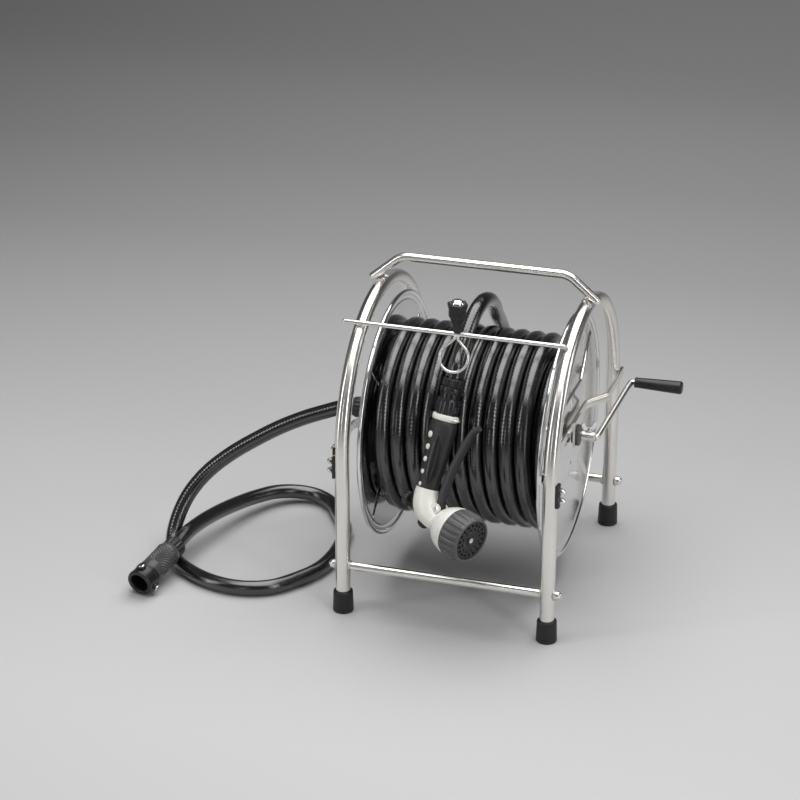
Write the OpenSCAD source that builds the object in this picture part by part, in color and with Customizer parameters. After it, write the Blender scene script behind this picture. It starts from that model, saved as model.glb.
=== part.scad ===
// Portable stainless hose reel with a full winding of garden hose, a hung spray
// nozzle, a short supply hose with a clamp-on tap adapter, and a hand crank.
// +Z is up, +X runs along the drum's axle towards the crank, +Y is the
// rear. The origin is on the floor under the middle of the rigid reel.

/* [Hoop frame] */
// Outside diameter of the hoop tube
tube_d = 19.1; // [16:0.1:25]
// Wall of the hoop tube
tube_wall = 1.2; // [0.8:0.1:2]
// Distance between the two hoops, centre to centre
frame_w = 272; // [240:1:320]
// Distance between a hoop's front and rear legs, centre to centre
frame_d = 347; // [300:1:400]
// Height of the top of the arch, to the tube's centre
arch_top = 390; // [340:1:440]
// Diameter of the lower cross rods and of the carry handle
rod_d = 11.4; // [8:0.2:12]
// Height of the lower cross rods
rod_z = 66; // [40:1:100]
// How far a lower rod stands out of the legs
rod_over = 13; // [5:1:20]
// Height of the carry handle's straight length
handle_z = 431; // [410:1:470]
// Slope of the handle's ends
handle_slope = 40; // [30:1:50]
// Inside bend radius of the handle, to the bar's centre
handle_bend = 30; // [20:1:50]
// Rubber foot diameter
foot_d = 27; // [22:0.5:34]
// Rubber foot height
foot_h = 30; // [20:1:40]

/* [Bearing straps] */
// Thickness of the flat bar
strap_t = 3; // [2:0.5:5]
// Height of the flat bar
strap_h = 12; // [8:1:20]
// Height of the bar's lower edge
strap_z = 222; // [215:1:240]
// Height of the drum's axle
axle_z = 210; // [190:1:230]

/* [Hanger rod and ring] */
// Diameter of the thin rod across the front of the arches
hanger_d = 6; // [4:0.5:8]
// Place of that rod in front of the axle
hanger_y = -100; // [-120:1:-80]
// Height of that rod
hanger_z = 374.6; // [360:0.2:390]
// Where the ring and the peg are on the rod, from the reel's middle
ring_x = -7; // [-60:1:60]
// Ring wire diameter
ring_wire = 4; // [3:0.5:5]
// Backward tilt of the ring
ring_tilt = 26; // [0:1:40]

/* [Drum] */
// Flange radius, to the centre of the rolled rim
flange_r = 161; // [140:1:165]
// Place of a flange's inner face from the reel's middle
flange_x = 117; // [100:1:118]
// Flange sheet thickness
flange_t = 1.4; // [1:0.1:2]
// Radius of the drum's barrel
barrel_r = 74; // [50:1:90]
// Diameter of the hose
hose_d = 20; // [16:0.5:22]
// Outside radius of the full winding
winding_r = 129; // [100:1:135]
// Half the winding's width
winding_x = 114; // [90:1:114]

/* [Crank] */
// Crank shaft radius
shaft_r = 6; // [5:0.5:8]
// Crank bar diameter
crank_d = 8; // [6:0.5:10]
// Throw of the crank, axle to grip
crank_throw = 147.2; // [120:0.1:160]
// Angle of the crank above the horizontal, towards the rear
crank_lift = 7.4; // [0:0.1:90]
// Grip length
grip_len = 65; // [50:1:90]

/* [Tap adapter] */
// Length of the clamp-on tap adapter
tap_len = 93; // [80:1:100]

/* [Running fits] */
// Radial clearance of a shaft in its bush
run_gap = 0.04; // [0.02:0.01:0.08]
// Clearance between loose moving parts
loose_gap = 0.4; // [0.3:0.1:1]

/* [Hidden] */
$fn = 64;

steel = [0.80, 0.80, 0.79];
black = [0.07, 0.07, 0.07];
hose_black = [0.05, 0.05, 0.055];
dark_grey = [0.20, 0.20, 0.21];
mid_grey = [0.42, 0.43, 0.43];
cream = [0.92, 0.91, 0.86];
brass = [0.70, 0.58, 0.36];
nylon = [0.25, 0.25, 0.26];

// The rigid reel's left and right ends, which the origin lies between.
gland_end = -178;
crank_x = 155;
grip_from = 172.2;
crank_end = grip_from + grip_len;
reel_x = -(gland_end + crank_end)/2;

half_w = frame_w/2;
half_d = frame_d/2;
arc_z = arch_top - half_d;
tube_r = tube_d/2;
foot_floor = 4;
strap_in = half_w - tube_r - 0.05 - strap_t;
strap_out = half_w + tube_r + 0.05;
tab_x = strap_in + strap_t;
flange_out = flange_x + flange_t;

// The spray nozzle hangs upside down: its own +Z runs up its grip to the hose
// and its own +X is the way the spray head faces.
nozzle_at = [-27, -172, 174];
nozzle_turn = [-23, -2, -25];
head_tilt = 8.5;
pivot = [28, -4];
hose_nut_top = 161;
stud_face = -13.4;

// Routes of the free hoses, each point chosen by hand, from the reel's middle.
tail_route = [[5, 142, 180], [4, 142, 215], [0, 136, 254], [-3, 121, 286], [-3, 98, 314],
    [-1, 70, 338], [2, 44, 360], [3, 16, 378], [2, -14, 386], [0, -44, 381],
    [-2, -70, 366], [-4, -90, 348], [-5, -104, 335]];
inlet_route = [[-178, 0, 210], [-193, -0.5, 206.8], [-213, -2, 199.5], [-243, -5, 187.5],
    [-277, -10, 171], [-312, -16, 150], [-346, -25, 127], [-375, -38, 102],
    [-395, -56, 75], [-404, -77, 48], [-404, -97, 25], [-396, -115, 12],
    [-382, -132, 10.2], [-360, -150, 10.2], [-331, -166, 10.2],
    [-299, -174.5, 10.2], [-268, -173, 10.2], [-240, -160, 10.2],
    [-218, -134, 10.2], [-198, -98, 10.2], [-191, -58, 10.2],
    [-192, -18, 10.2], [-200, 28, 10.2], [-222, 66, 10.2],
    [-243, 96, 11], [-270, 110, 13], [-298, 107, 16], [-322, 90, 20],
    [-341, 60, 24], [-356, 22, 29], [-368, -20, 34], [-377, -62, 37.5],
    [-382, -98, 38.6]];
tap_at = [-384, -130, 36.4];
tap_aim = [-387.8, -147.8, 33];

module reel() translate([reel_x, 0, 0]) children();
module nozzle() reel() translate(nozzle_at) rotate(nozzle_turn) children();
module along_x() rotate([0, 90, 0]) children();
module drum_side(side) reel() translate([0, 0, axle_z])
    mirror([side < 0 ? 1 : 0, 0, 0]) along_x() children();

// Turns local +Z onto the direction d.
module aim(d) rotate([0, acos(d[2]/norm(d)), atan2(d[1], d[0])]) children();

// A torus part in the XY plane from angle a0 over a sweep.
module bend(radius, r, a0, sweep) rotate([0, 0, a0])
    rotate_extrude(angle = sweep) translate([radius, 0]) circle(r = r);

function unit(v) = v/norm(v);
function place(local) = let (x = nozzle_turn[0], y = nozzle_turn[1], z = nozzle_turn[2],
    a = [local[0], local[1]*cos(x) - local[2]*sin(x), local[1]*sin(x) + local[2]*cos(x)],
    b = [a[0]*cos(y) + a[2]*sin(y), a[1], -a[0]*sin(y) + a[2]*cos(y)])
    nozzle_at + [b[0]*cos(z) - b[1]*sin(z), b[0]*sin(z) + b[1]*cos(z), b[2]];

// A round bar or tube of radius r swept along a route. Its flat ends are square
// to end_a and end_b, and its rings carry one sideways direction, side, along the
// route so that it doesn't twist.
function tangent(p, i, a, b) = i == 0 ? unit(a) : i == len(p) - 1 ? unit(b)
    : unit(p[i + 1] - p[i - 1]);
function carried(p, i, a, b, side) = let (t = tangent(p, i, a, b),
    s = i == 0 ? side : carried(p, i - 1, a, b, side)) unit(s - (s*t)*t);
function ring_at(c, t, s, r, n) = let (u = cross(s, t))
    [for (k = [0:n - 1]) c + r*(cos(360*k/n)*s + sin(360*k/n)*u)];
module swept(p, r, end_a, end_b, side, n) {
    last = len(p) - 1;
    points = [for (i = [0:last]) each ring_at(p[i], tangent(p, i, end_a, end_b),
        carried(p, i, end_a, end_b, side), r, n)];
    polyhedron(points = points, faces = concat(
        [[for (k = [n - 1:-1:0]) k]],
        [[for (k = [0:n - 1]) last*n + k]],
        [for (i = [0:last - 1], k = [0:n - 1]) let (m = (k + 1) % n)
            [i*n + k, i*n + m, (i + 1)*n + m, (i + 1)*n + k]]));
}
module hose(p, end_a, end_b, side) swept(p, hose_d/2, end_a, end_b, side, 10);
// A bar bent in one plane, which has X to the right and the given direction up.
function arc(centre, r, from, sweep, steps = 6) = [for (i = [0:steps])
    centre + r*[cos(from + sweep*i/steps), sin(from + sweep*i/steps)]];
module bent_bar(path, up, r, n = 16) {
    p = [for (v = path) [v[0], 0, 0] + v[1]*up];
    last = len(p) - 1;
    swept(p, r, p[1] - p[0], p[last] - p[last - 1], cross([1, 0, 0], up), n);
}

// ---- Hoop frame ----
module hoop_bar(r, from_z) {
    for (s = [-1, 1]) translate([0, s*half_d, from_z]) cylinder(r = r, h = arc_z - from_z);
    translate([0, 0, arc_z]) rotate([90, 0, 90]) bend(half_d, r, 0, 180);
}
module hoop(side) color(steel) reel() translate([side*half_w, 0, 0]) difference() {
    hoop_bar(tube_r, foot_floor);
    hoop_bar(tube_r - tube_wall, foot_floor - 1);
    for (s = [-1, 1]) translate([-20, s*half_d, rod_z]) along_x() cylinder(d = rod_d, h = 40);
}
module hoop_left() hoop(-1);
module hoop_right() hoop(1);

module foot(sx, sy) color(black) reel() translate([sx*half_w, sy*half_d, 0])
    rotate_extrude() polygon([[0, 0], [foot_d/2 - 1.2, 0], [foot_d/2, 1.6],
        [foot_d/2, foot_h - 5], [foot_d/2 - 1, foot_h - 1.6], [foot_d/2 - 2.4, foot_h],
        [tube_r, foot_h], [tube_r, foot_floor], [0, foot_floor]]);
module foot_front_left() foot(-1, -1);
module foot_front_right() foot(1, -1);
module foot_rear_left() foot(-1, 1);
module foot_rear_right() foot(1, 1);

module lower_rod(sy) color(steel) reel() translate([0, sy*half_d, rod_z]) {
    translate([-half_w - rod_over, 0, 0]) along_x() cylinder(d = rod_d, h = frame_w + 2*rod_over);
    for (s = [-1, 1]) translate([s*(half_w + rod_over), 0, 0]) sphere(d = rod_d, $fn = 32);
}
module lower_rod_front() lower_rod(-1);
module lower_rod_rear() lower_rod(1);

// The handle's sloped ends rest on the tops of the hoops.
module carry_handle() color(steel) reel() {
    on_hoop = (tube_r + rod_d/2 + 0.05)/cos(handle_slope);
    corner = half_w - (handle_z - arch_top - on_hoop)/tan(handle_slope);
    flat = corner - handle_bend*tan(handle_slope/2);
    end = [half_w + 13, handle_z - handle_bend*(1 - cos(handle_slope))
        - (half_w + 13 - flat - handle_bend*sin(handle_slope))*tan(handle_slope)];
    centre = [flat, handle_z - handle_bend];
    bent_bar(concat([[-end[0], end[1]]],
        arc([-centre[0], centre[1]], handle_bend, 90 + handle_slope, -handle_slope),
        arc(centre, handle_bend, 90, -handle_slope), [end]), [0, 0, 1], rod_d/2);
}

module hanger_rod() color(steel) reel() translate([0, hanger_y, hanger_z]) {
    translate([-half_w - 19, 0, 0]) along_x() cylinder(d = hanger_d, h = frame_w + 14);
    translate([-half_w - 19, 0, 0]) sphere(d = hanger_d, $fn = 24);
}

// ---- Bearing straps: inside the one leg, a jog, and outside the other ----
module strap() {
    mid = strap_in + strap_t;
    difference() {
        union() {
            translate([0, 0, strap_z]) linear_extrude(strap_h) polygon([
                [strap_in, -half_d - 9], [mid, -half_d - 9], [mid, 56], [strap_out + strap_t, 91],
                [strap_out + strap_t, half_d + 9], [strap_out, half_d + 9], [strap_out, 92],
                [strap_in, 57]]);
            translate([tab_x, 0, axle_z]) along_x() cylinder(r = 17, h = strap_t);
            translate([tab_x, -17, axle_z]) cube([strap_t, 34, strap_z + strap_h - axle_z]);
        }
        translate([tab_x - 1, 0, axle_z]) along_x() cylinder(r = 10, h = strap_t + 2);
    }
}
module strap_right() color(steel) reel() strap();
module strap_left() color(steel) reel() rotate([0, 0, 180]) strap();

// Flanged plain bush, open through its middle for the shaft.
module bush(bore) difference() {
    union() {
        translate([122.6, 0, 0]) along_x() cylinder(r = 11.5, h = tab_x - 122.6);
        translate([tab_x, 0, 0]) along_x() cylinder(r = 10, h = strap_t);
        translate([tab_x + strap_t, 0, 0]) along_x() cylinder(r = 14, h = 3);
    }
    translate([120, 0, 0]) along_x() cylinder(r = bore, h = 20);
}
module bush_right() color(nylon) reel() translate([0, 0, axle_z]) bush(shaft_r + run_gap);
module bush_left() color(nylon) reel() translate([0, 0, axle_z]) mirror([1, 0, 0]) bush(8 + run_gap);

// ---- Pear-shaped wire ring and the peg above it, both on the hanger rod ----
module nozzle_ring() color(steel) reel() translate([ring_x, hanger_y, hanger_z])
    rotate([-ring_tilt, 0, 0]) translate([0, 0, -29.6]) {
        // The wire rises from each side of the loop and meets under the rod.
        neck = [[3, 22.4], [3, 26.5]];
        bent_bar(concat([for (v = [neck[1], neck[0]]) [-v[0], v[1]]],
            arc([0, 0], 18.6, 140, 260, 16), neck), [0, 0, 1], ring_wire/2, 10);
    }
module hose_peg() color(black) reel() translate([ring_x + 0.5, hanger_y, hanger_z]) {
    rotate_extrude() polygon([[0, 3.1], [5, 3.1], [5, 8], [6, 13], [9.6, 22], [10.4, 26],
        [10.4, 34], [0, 34]]);
    for (a = [0:30:330]) rotate([0, 0, a]) translate([10, -0.9, 24]) cube([1.3, 1.8, 10]);
    translate([0, 0, 34]) cylinder(r1 = 11.6, r2 = 13.6, h = 4, $fn = 6);
    translate([0, 0, 38]) cylinder(r = 13.6, h = 4, $fn = 6);
}
module peg_cap() color(steel) reel() translate([ring_x + 0.5, hanger_y, hanger_z + 42])
    rotate_extrude() polygon([[0, 0], [9, 0], [8.4, 2], [6, 4], [3, 4.8], [0, 5]]);

// ---- Black clips with two cap nuts, on the outside of the front legs ----
module leg_clip(side) color(black) reel() translate([side*half_w, -half_d, 190]) difference() {
    cylinder(r = 13, h = 31);
    translate([0, 0, -1]) cylinder(r = tube_r + 0.05, h = 33);
    // Only the outer part of the ring is left.
    translate([side > 0 ? -20 : -7, -20, -1]) cube([27, 40, 33]);
    for (w = [-1, 1]) translate([-20, w > 0 ? 6.5 : -26.5, -1]) cube([40, 20, 33]);
}
module leg_clip_left() leg_clip(-1);
module leg_clip_right() leg_clip(1);
module clip_nuts(side) color(steel) reel()
    for (z = [199.5, 212]) translate([side*(half_w + 13), -half_d, z])
        mirror([side < 0 ? 1 : 0, 0, 0]) along_x() {
            cylinder(r = 4.6, h = 3, $fn = 6);
            translate([0, 0, 3.5]) sphere(r = 3.4, $fn = 24);
        }
module clip_nuts_left() clip_nuts(-1);
module clip_nuts_right() clip_nuts(1);

// ---- Axial swivel where the supply hose joins the drum ----
module swivel_body() color(brass) drum_side(-1) difference() {
    union() {
        translate([0, 0, 132.8]) cylinder(r = 15, h = 10);
        translate([0, 0, 142.8]) cylinder(r = 15.5, h = 12, $fn = 6);
        translate([0, 0, 154.8]) cylinder(r = 11, h = 8.2);
    }
    translate([0, 0, 130]) cylinder(r = 8 + run_gap, h = 28.5);
    translate([0, 0, 136]) cylinder(r = 10.6, h = 3.2);
    translate([0, 0, 150]) cylinder(r = 5, h = 20);
}
module swivel_seal() color(black) drum_side(-1) translate([0, 0, 136.1]) difference() {
    cylinder(r = 10.55, h = 3);
    translate([0, 0, -1]) cylinder(r = 8 + run_gap, h = 5);
}
module inlet_gland() color(black) drum_side(-1) difference() {
    union() {
        translate([0, 0, 163]) cylinder(r = 13.4, h = 11);
        translate([0, 0, 174]) cylinder(r1 = 13.4, r2 = 11.4, h = 4);
        for (a = [0:30:330]) rotate([0, 0, a]) translate([13, -1.2, 164]) cube([1.2, 2.4, 9]);
    }
    translate([0, 0, 160]) cylinder(r = 5, h = 30);
}
module inlet_hose() color(hose_black) reel()
    hose(concat(inlet_route, [tap_at]), [-1, 0, 0], tap_aim - tap_at, [0, 1, 0]);

// ---- Clamp-on tap adapter on the supply hose's end ----
module tap() reel() translate(tap_at) aim(tap_aim - tap_at) children();
module tap_nut() color(black) tap() {
    cylinder(r = 12.6, h = 2);
    translate([0, 0, 2]) cylinder(r = 14, h = 15);
    for (a = [0:24:336]) rotate([0, 0, a]) translate([13.6, -1, 3]) cube([1.3, 2, 13]);
}
module tap_body() color(mid_grey) tap() difference() {
    union() {
        translate([0, 0, 17]) cylinder(r1 = 14.5, r2 = 17, h = 6);
        translate([0, 0, 23]) cylinder(r = 17, h = tap_len - 46);
    }
    translate([0, 0, tap_len - 34]) cylinder(r = 12.5, h = 20);
    // Relief groove under the mouth's wall, and the washer's recess under that.
    translate([0, 0, tap_len - 35]) cylinder(r = 13.1, h = 1);
    translate([0, 0, tap_len - 38]) cylinder(r = 11.5, h = 4);
    translate([0, 0, 16]) cylinder(r = 5, h = tap_len);
}
module tap_washer() color(black) tap() translate([0, 0, tap_len - 38]) difference() {
    cylinder(r = 11.4, h = 3);
    translate([0, 0, -1]) cylinder(r = 7, h = 5);
}
module around_mouth() tap() for (a = [60, 180, 300]) rotate([0, 0, a])
    translate([0, 0, tap_len - 12]) along_x() children();
module tap_collar() color(black) difference() {
    union() {
        tap() translate([0, 0, tap_len - 23]) cylinder(r = 18.2, h = 21.5);
        tap() translate([0, 0, tap_len - 1.5]) cylinder(r1 = 18.2, r2 = 17.2, h = 1.5);
        around_mouth() translate([0, 0, 14]) cylinder(r = 5, h = 6.4);
    }
    tap() translate([0, 0, tap_len - 24]) cylinder(r = 12.5, h = 30);
    around_mouth() cylinder(r = 2, h = 30);
}
module tap_screws() color(steel) around_mouth() {
    translate([0, 0, 12.7]) cylinder(r = 2, h = 7.8);
    translate([0, 0, 20.5]) cylinder(r = 3.8, h = 2.2);
}

// ---- Drum ----
module flange(side) color(steel) drum_side(side) difference() {
    union() {
        translate([0, 0, flange_x]) cylinder(r = flange_r, h = flange_t, $fn = 128);
        for (ridge = [[flange_r, 3], [flange_r - 9, 1.6]])
            translate([0, 0, flange_x + flange_t/2]) bend(ridge[0], ridge[1], 0, 360, $fn = 128);
        translate([0, 0, flange_out]) rotate([0, 0, 45])
            cylinder(r1 = 85, r2 = 72, h = 2, $fn = 4);
        for (a = [45:90:315]) rotate([0, 0, a]) translate([80, 0, flange_out]) intersection() {
            along_x() cylinder(r = 2, h = 68);
            translate([0, -5, 0]) cube([68, 10, 5]);
        }
    }
    translate([0, 0, 100]) cylinder(r = side > 0 ? shaft_r : 8, h = 40);
    for (a = [0:90:270]) rotate([0, 0, a]) translate([44, 0, 100]) cylinder(r = 3, h = 40);
}
module flange_left() flange(-1);
module flange_right() flange(1);
module barrel() color(steel) reel() translate([-flange_x, 0, axle_z]) along_x() difference() {
    cylinder(r = barrel_r, h = 2*flange_x);
    translate([0, 0, -1]) cylinder(r = barrel_r - 1.5, h = 2*flange_x + 2);
}
module hub(side, bore) color(steel) drum_side(side) difference() {
    translate([0, 0, flange_x - 4]) cylinder(r = barrel_r - 1.5, h = 4);
    translate([0, 0, 90]) cylinder(r = bore, h = 40);
    for (a = [0:90:270]) rotate([0, 0, a]) translate([44, 0, 90]) cylinder(r = 3, h = 40);
}
module hub_left() hub(-1, 8);
module hub_right() hub(1, shaft_r);
module hub_bolts() color(steel) for (side = [-1, 1]) drum_side(side)
    for (a = [0:90:270]) rotate([0, 0, a]) translate([44, 0, 0]) {
        translate([0, 0, flange_x - 4]) cylinder(r = 3, h = flange_t + 6);
        translate([0, 0, flange_out + 2]) cylinder(r1 = 5, r2 = 4, h = 1.4);
    }
module water_shaft() color(steel) drum_side(-1) difference() {
    translate([0, 0, flange_x - 34]) cylinder(r = 8, h = 158 - flange_x + 34);
    translate([0, 0, flange_x - 20]) cylinder(r = 4.5, h = 100);
    // Water passes through this cross hole to the hose on the barrel.
    translate([0, 0, flange_x - 14]) along_x() cylinder(r = 4, h = 20);
}
module crank_shaft() color(steel) drum_side(1) {
    translate([0, 0, flange_x - 34]) cylinder(r = shaft_r, h = 134 - flange_x + 34);
    translate([0, 0, 134]) cylinder(r = 4.5, h = 15);
}
module hose_winding() color(hose_black) reel() translate([-winding_x, 0, axle_z]) along_x()
    rotate_extrude() translate([barrel_r + 0.2, 0]) square([winding_r - barrel_r - 0.2, 2*winding_x]);

// ---- Crank: a bent bar with a boss on the shaft and a pin for the grip ----
module crank_plane() reel() translate([0, 0, axle_z]) rotate([crank_lift, 0, 0]) children();
lean = 12;
crank_bend = 12;
grip_bend = 5.5;
turn_a = atan2(crank_throw, lean);
module crank_arm() color(steel) crank_plane() {
    t = crank_bend*tan(turn_a/2);
    t2 = grip_bend*tan(turn_a/2);
    // A bend one way brings the bar off the axle, and one back brings it to the grip.
    path = concat(arc([crank_x - t, crank_bend], crank_bend, -90, turn_a),
        arc([crank_x + lean + t2, crank_throw - grip_bend], grip_bend, 90 + turn_a, -turn_a),
        [[crank_end - 5, crank_throw]]);
    difference() {
        union() {
            translate([134.2, 0, 0]) along_x() cylinder(r = 7, h = 18);
            bent_bar(path, [0, 1, 0], crank_d/2);
        }
        translate([130, 0, 0]) along_x() cylinder(r = 4.5, h = 19.2);
        // Tapped hole for the wing bolt, which stands up.
        translate([144, 0, 0]) rotate([-crank_lift, 0, 0]) cylinder(r = 2.5, h = 12);
    }
}
module wing_bolt() color(steel) reel() translate([144, 0, axle_z]) {
    translate([0, 0, 4.6]) cylinder(r = 2.5, h = 3);
    translate([0, 0, 7.4]) cylinder(r = 4.2, h = 6);
    for (s = [0, 180]) rotate([0, 0, s]) translate([0, -1.2, 8]) rotate([-90, 0, 0])
        linear_extrude(2.4) polygon([[2, 0], [7, -2], [10.5, -7], [10.5, -11], [8.4, -12.6],
            [6, -11], [4, -6.5], [2, -5]]);
}
module crank_grip() color(black) crank_plane() translate([grip_from, crank_throw, 0]) along_x()
    rotate_extrude() polygon([[crank_d/2 + run_gap, 0], [6.6, 0], [7.2, 1], [7.2, 3],
        [8.8, grip_len - 6], [8.8, grip_len - 2.5], [7.6, grip_len - 0.6], [6.4, grip_len],
        [0, grip_len], [0, grip_len - 4.6], [crank_d/2 + run_gap, grip_len - 4.6]]);

// ---- Tail of the hose, from the winding over the top to the nozzle ----
module hose_tail() color(hose_black) reel()
    hose(concat(tail_route, [place([0, 0, hose_nut_top])]),
        [0, 0, 1], place([0, 0, 0]) - place([0, 0, 10]), [1, 0, 0]);
module hose_nut() color(black) nozzle() {
    translate([0, 0, 147]) cylinder(r = 14, h = 12);
    translate([0, 0, 159]) cylinder(r1 = 14, r2 = 12, h = 2);
    for (a = [0:24:336]) rotate([0, 0, a]) translate([13.6, -1, 148]) cube([1.2, 2, 10]);
}
module connector_body() color(dark_grey) nozzle() difference() {
    union() {
        translate([0, 0, 114]) cylinder(r = 12.6, h = 27);
        translate([0, 0, 139]) cylinder(r1 = 12.6, r2 = 14.6, h = 4);
        translate([0, 0, 143]) cylinder(r = 14.6, h = 4);
    }
    translate([0, 0, 113]) cylinder(r = 8.6, h = 16);
}
// Grip sleeve of the quick connector, which slides up to let the nozzle go.
module connector_sleeve() color(black) nozzle() difference() {
    union() {
        translate([0, 0, 113.4]) cylinder(r = 15.6, h = 17);
        translate([0, 0, 130.4]) cylinder(r1 = 15.6, r2 = 14.4, h = 2);
        translate([13.4, -4, 116]) cube([3.6, 8, 9]);
    }
    translate([0, 0, 112]) cylinder(r = 12.6 + loose_gap, h = 24);
}

// ---- Spray nozzle, in its own frame ----
module grip_solid() {
    hull() { grip_slice(16, 0, 15.1, 12); grip_slice(56, 0.6, 17.6, 13); }
    hull() { grip_slice(56, 0.6, 17.6, 13); grip_slice(95, 1.2, 19.4, 14.2); }
    hull() { grip_slice(95, 1.2, 19.4, 14.2); grip_slice(103.5, 0.8, 17.4, 13.8); }
}
module grip_slice(z, x, rx, ry) translate([x, 0, z]) linear_extrude(0.5)
    scale([rx, ry]) circle(r = 1, $fn = 32);
module nozzle_grip() color(dark_grey) nozzle() grip_solid();
module nozzle_collar() color(cream) nozzle() {
    translate([0.6, 0, 104.1]) linear_extrude(8) scale([17.8, 14.8]) circle(r = 1);
    translate([0, 0, 112.1]) cylinder(r = 8.2, h = 15);
}
// Wire catch that holds the trigger down.
module lock_loop() color(steel) nozzle() translate([17.6, 0, 108]) rotate([0, 0, -90]) {
    bend(6, 1.1, 0, 180);
    for (s = [-1, 1]) translate([s*6, 0, 0]) rotate([90, 0, 0]) cylinder(r = 1.1, h = 0.1);
}
// Five round studs, each smaller than the one above.
module grip_dots() color(cream) nozzle() difference() {
    for (i = [0:4]) translate([-6.6 + 0.5*i, stud_face + 0.35*i, 84 - 16*i])
        rotate([-90, 0, 0]) cylinder(r = 4 - 0.4*i, h = 6, $fn = 24);
    grip_solid();
}
module grip_inlay() color(black) nozzle() for (s = [0, 1]) mirror([0, s, 0]) difference() {
    translate([7, 0, 54]) scale([8, 1, 33]) rotate([90, 0, 0]) cylinder(r = 1, h = 15.2, $fn = 32);
    grip_solid();
}
module head() translate([29, 0, -20]) rotate([0, 90 + head_tilt, 0]) children();
module trigger_slot() translate([17, -6.6, -13]) cube([24, 13.2, 40]);
module nozzle_body() color(cream) nozzle() {
    difference() {
        union() {
            hull() { grip_slice(15.4, 0, 15.4, 12.2); translate([0, 0, -1]) scale([1, 0.7, 0.75]) sphere(r = 22.5, $fn = 40); }
            hull() { translate([0, 0, -1]) scale([1, 0.7, 0.75]) sphere(r = 22.5, $fn = 40); head() translate([0, 0, -4]) cylinder(r = 13, h = 4, $fn = 40); }
            for (s = [0, 1]) mirror([0, s, 0]) translate([0, 7, 0]) rotate([-90, 0, 0]) linear_extrude(3)
                polygon([[18, 16], [16, 6], [22, -2], [28, -2.6], [33.5, 1], [34.5, 5], [31, 10], [29, 16]]);
        }
        trigger_slot();
        // Seat of the bell.
        head() rotate_extrude() polygon([[0, -0.02], [13.1, -0.02], [18.1, 3.5], [23.1, 9],
            [27.1, 15.5], [27.1, 40], [0, 40]]);
        translate([-40, 0, -5]) along_x() cylinder(r = 10 + loose_gap, h = 40 - 20.6);
        translate([-40, 0, -5]) along_x() cylinder(r = 3 + run_gap, h = 40 - 9);
        translate([pivot[0], 20, pivot[1]]) rotate([90, 0, 0]) cylinder(r = 2, h = 40);
        translate([9, 0, -25]) rotate([0, 214, 0]) cylinder(r = 7.5, h = 20);
    }
}
module valve_cap() color(black) nozzle() translate([9, 0, -25]) rotate([0, 214, 0]) {
    cylinder(r = 7.5, h = 6);
    translate([0, 0, 6]) cylinder(r1 = 7.5, r2 = 6.4, h = 1.6);
}
module flow_knob() color(black) nozzle() translate([-31, 0, -5]) along_x() {
    cylinder(r1 = 9, r2 = 10, h = 2);
    translate([0, 0, 2]) cylinder(r = 10, h = 7.9);
    translate([0, 0, 9.9]) cylinder(r = 3, h = 9);
}
module nozzle_bell() color(cream) nozzle() difference() {
    head() union() {
        rotate_extrude() polygon([[0, 0], [13, 0], [18, 3.5], [23, 9], [27, 15.5], [29.8, 22.5],
            [31.4, 29], [31.6, 31], [20, 31], [20, 48], [0, 48]]);
    }
    trigger_slot();
}
// Fluted ring that turns to choose the spray.
module pattern_dial() color(mid_grey) nozzle() head() difference() {
    union() {
        translate([0, 0, 31.5]) cylinder(r = 31, h = 20);
        translate([0, 0, 51.5]) cylinder(r1 = 31, r2 = 28.5, h = 8);
        for (a = [0:15:345]) rotate([0, 0, a]) translate([30.4, -1.8, 33]) cube([1.6, 3.6, 17]);
    }
    translate([0, 0, 31]) cylinder(r = 20 + loose_gap, h = 18);
    translate([0, 0, 53]) cylinder(r = 25.6, h = 10);
    translate([0, 0, 31]) cylinder(r = 6, h = 30);
}
module dial_face() color(black) nozzle() head() {
    difference() {
        translate([0, 0, 53]) cylinder(r = 25.6, h = 5);
        for (a = [0:20:340]) rotate([0, 0, a]) translate([20.5, 0, 55]) cylinder(r = 2, h = 6, $fn = 20);
    }
    translate([0, 0, 58]) cylinder(r = 3.4, h = 1.4);
}
trigger_path = [pivot, [27, 14], [30, 34], [33, 52], [42, 80], [51, 103], [57, 108]];
module trigger() color(mid_grey) nozzle() difference() {
    for (i = [0:5]) hull() for (j = [i, i + 1]) translate([trigger_path[j][0], 5.6, trigger_path[j][1]])
        rotate([90, 0, 0]) cylinder(r = j == 6 ? 3 : 4.4, h = 11.2, $fn = 32);
    translate([pivot[0], 20, pivot[1]]) rotate([90, 0, 0]) cylinder(r = 2 + run_gap, h = 40);
}
module trigger_pin() color(steel) nozzle() translate([pivot[0], 0, pivot[1]]) rotate([90, 0, 0]) {
    translate([0, 0, -10]) cylinder(r = 2, h = 20);
    for (s = [0, 1]) mirror([0, 0, s]) translate([0, 0, 10]) cylinder(r1 = 3.4, r2 = 2.6, h = 1.2);
}

hoop_left();
hoop_right();
foot_front_left();
foot_front_right();
foot_rear_left();
foot_rear_right();
lower_rod_front();
lower_rod_rear();
carry_handle();
hanger_rod();
strap_left();
strap_right();
bush_left();
bush_right();
nozzle_ring();
hose_peg();
peg_cap();
leg_clip_left();
leg_clip_right();
clip_nuts_left();
clip_nuts_right();
swivel_body();
swivel_seal();
inlet_gland();
inlet_hose();
tap_nut();
tap_body();
tap_collar();
tap_washer();
tap_screws();
flange_left();
flange_right();
barrel();
hub_left();
hub_right();
hub_bolts();
water_shaft();
crank_shaft();
hose_winding();
crank_arm();
wing_bolt();
crank_grip();
hose_tail();
hose_nut();
connector_body();
connector_sleeve();
nozzle_collar();
lock_loop();
nozzle_grip();
grip_inlay();
grip_dots();
nozzle_body();
valve_cap();
flow_knob();
nozzle_bell();
pattern_dial();
dial_face();
trigger();
trigger_pin();
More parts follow.
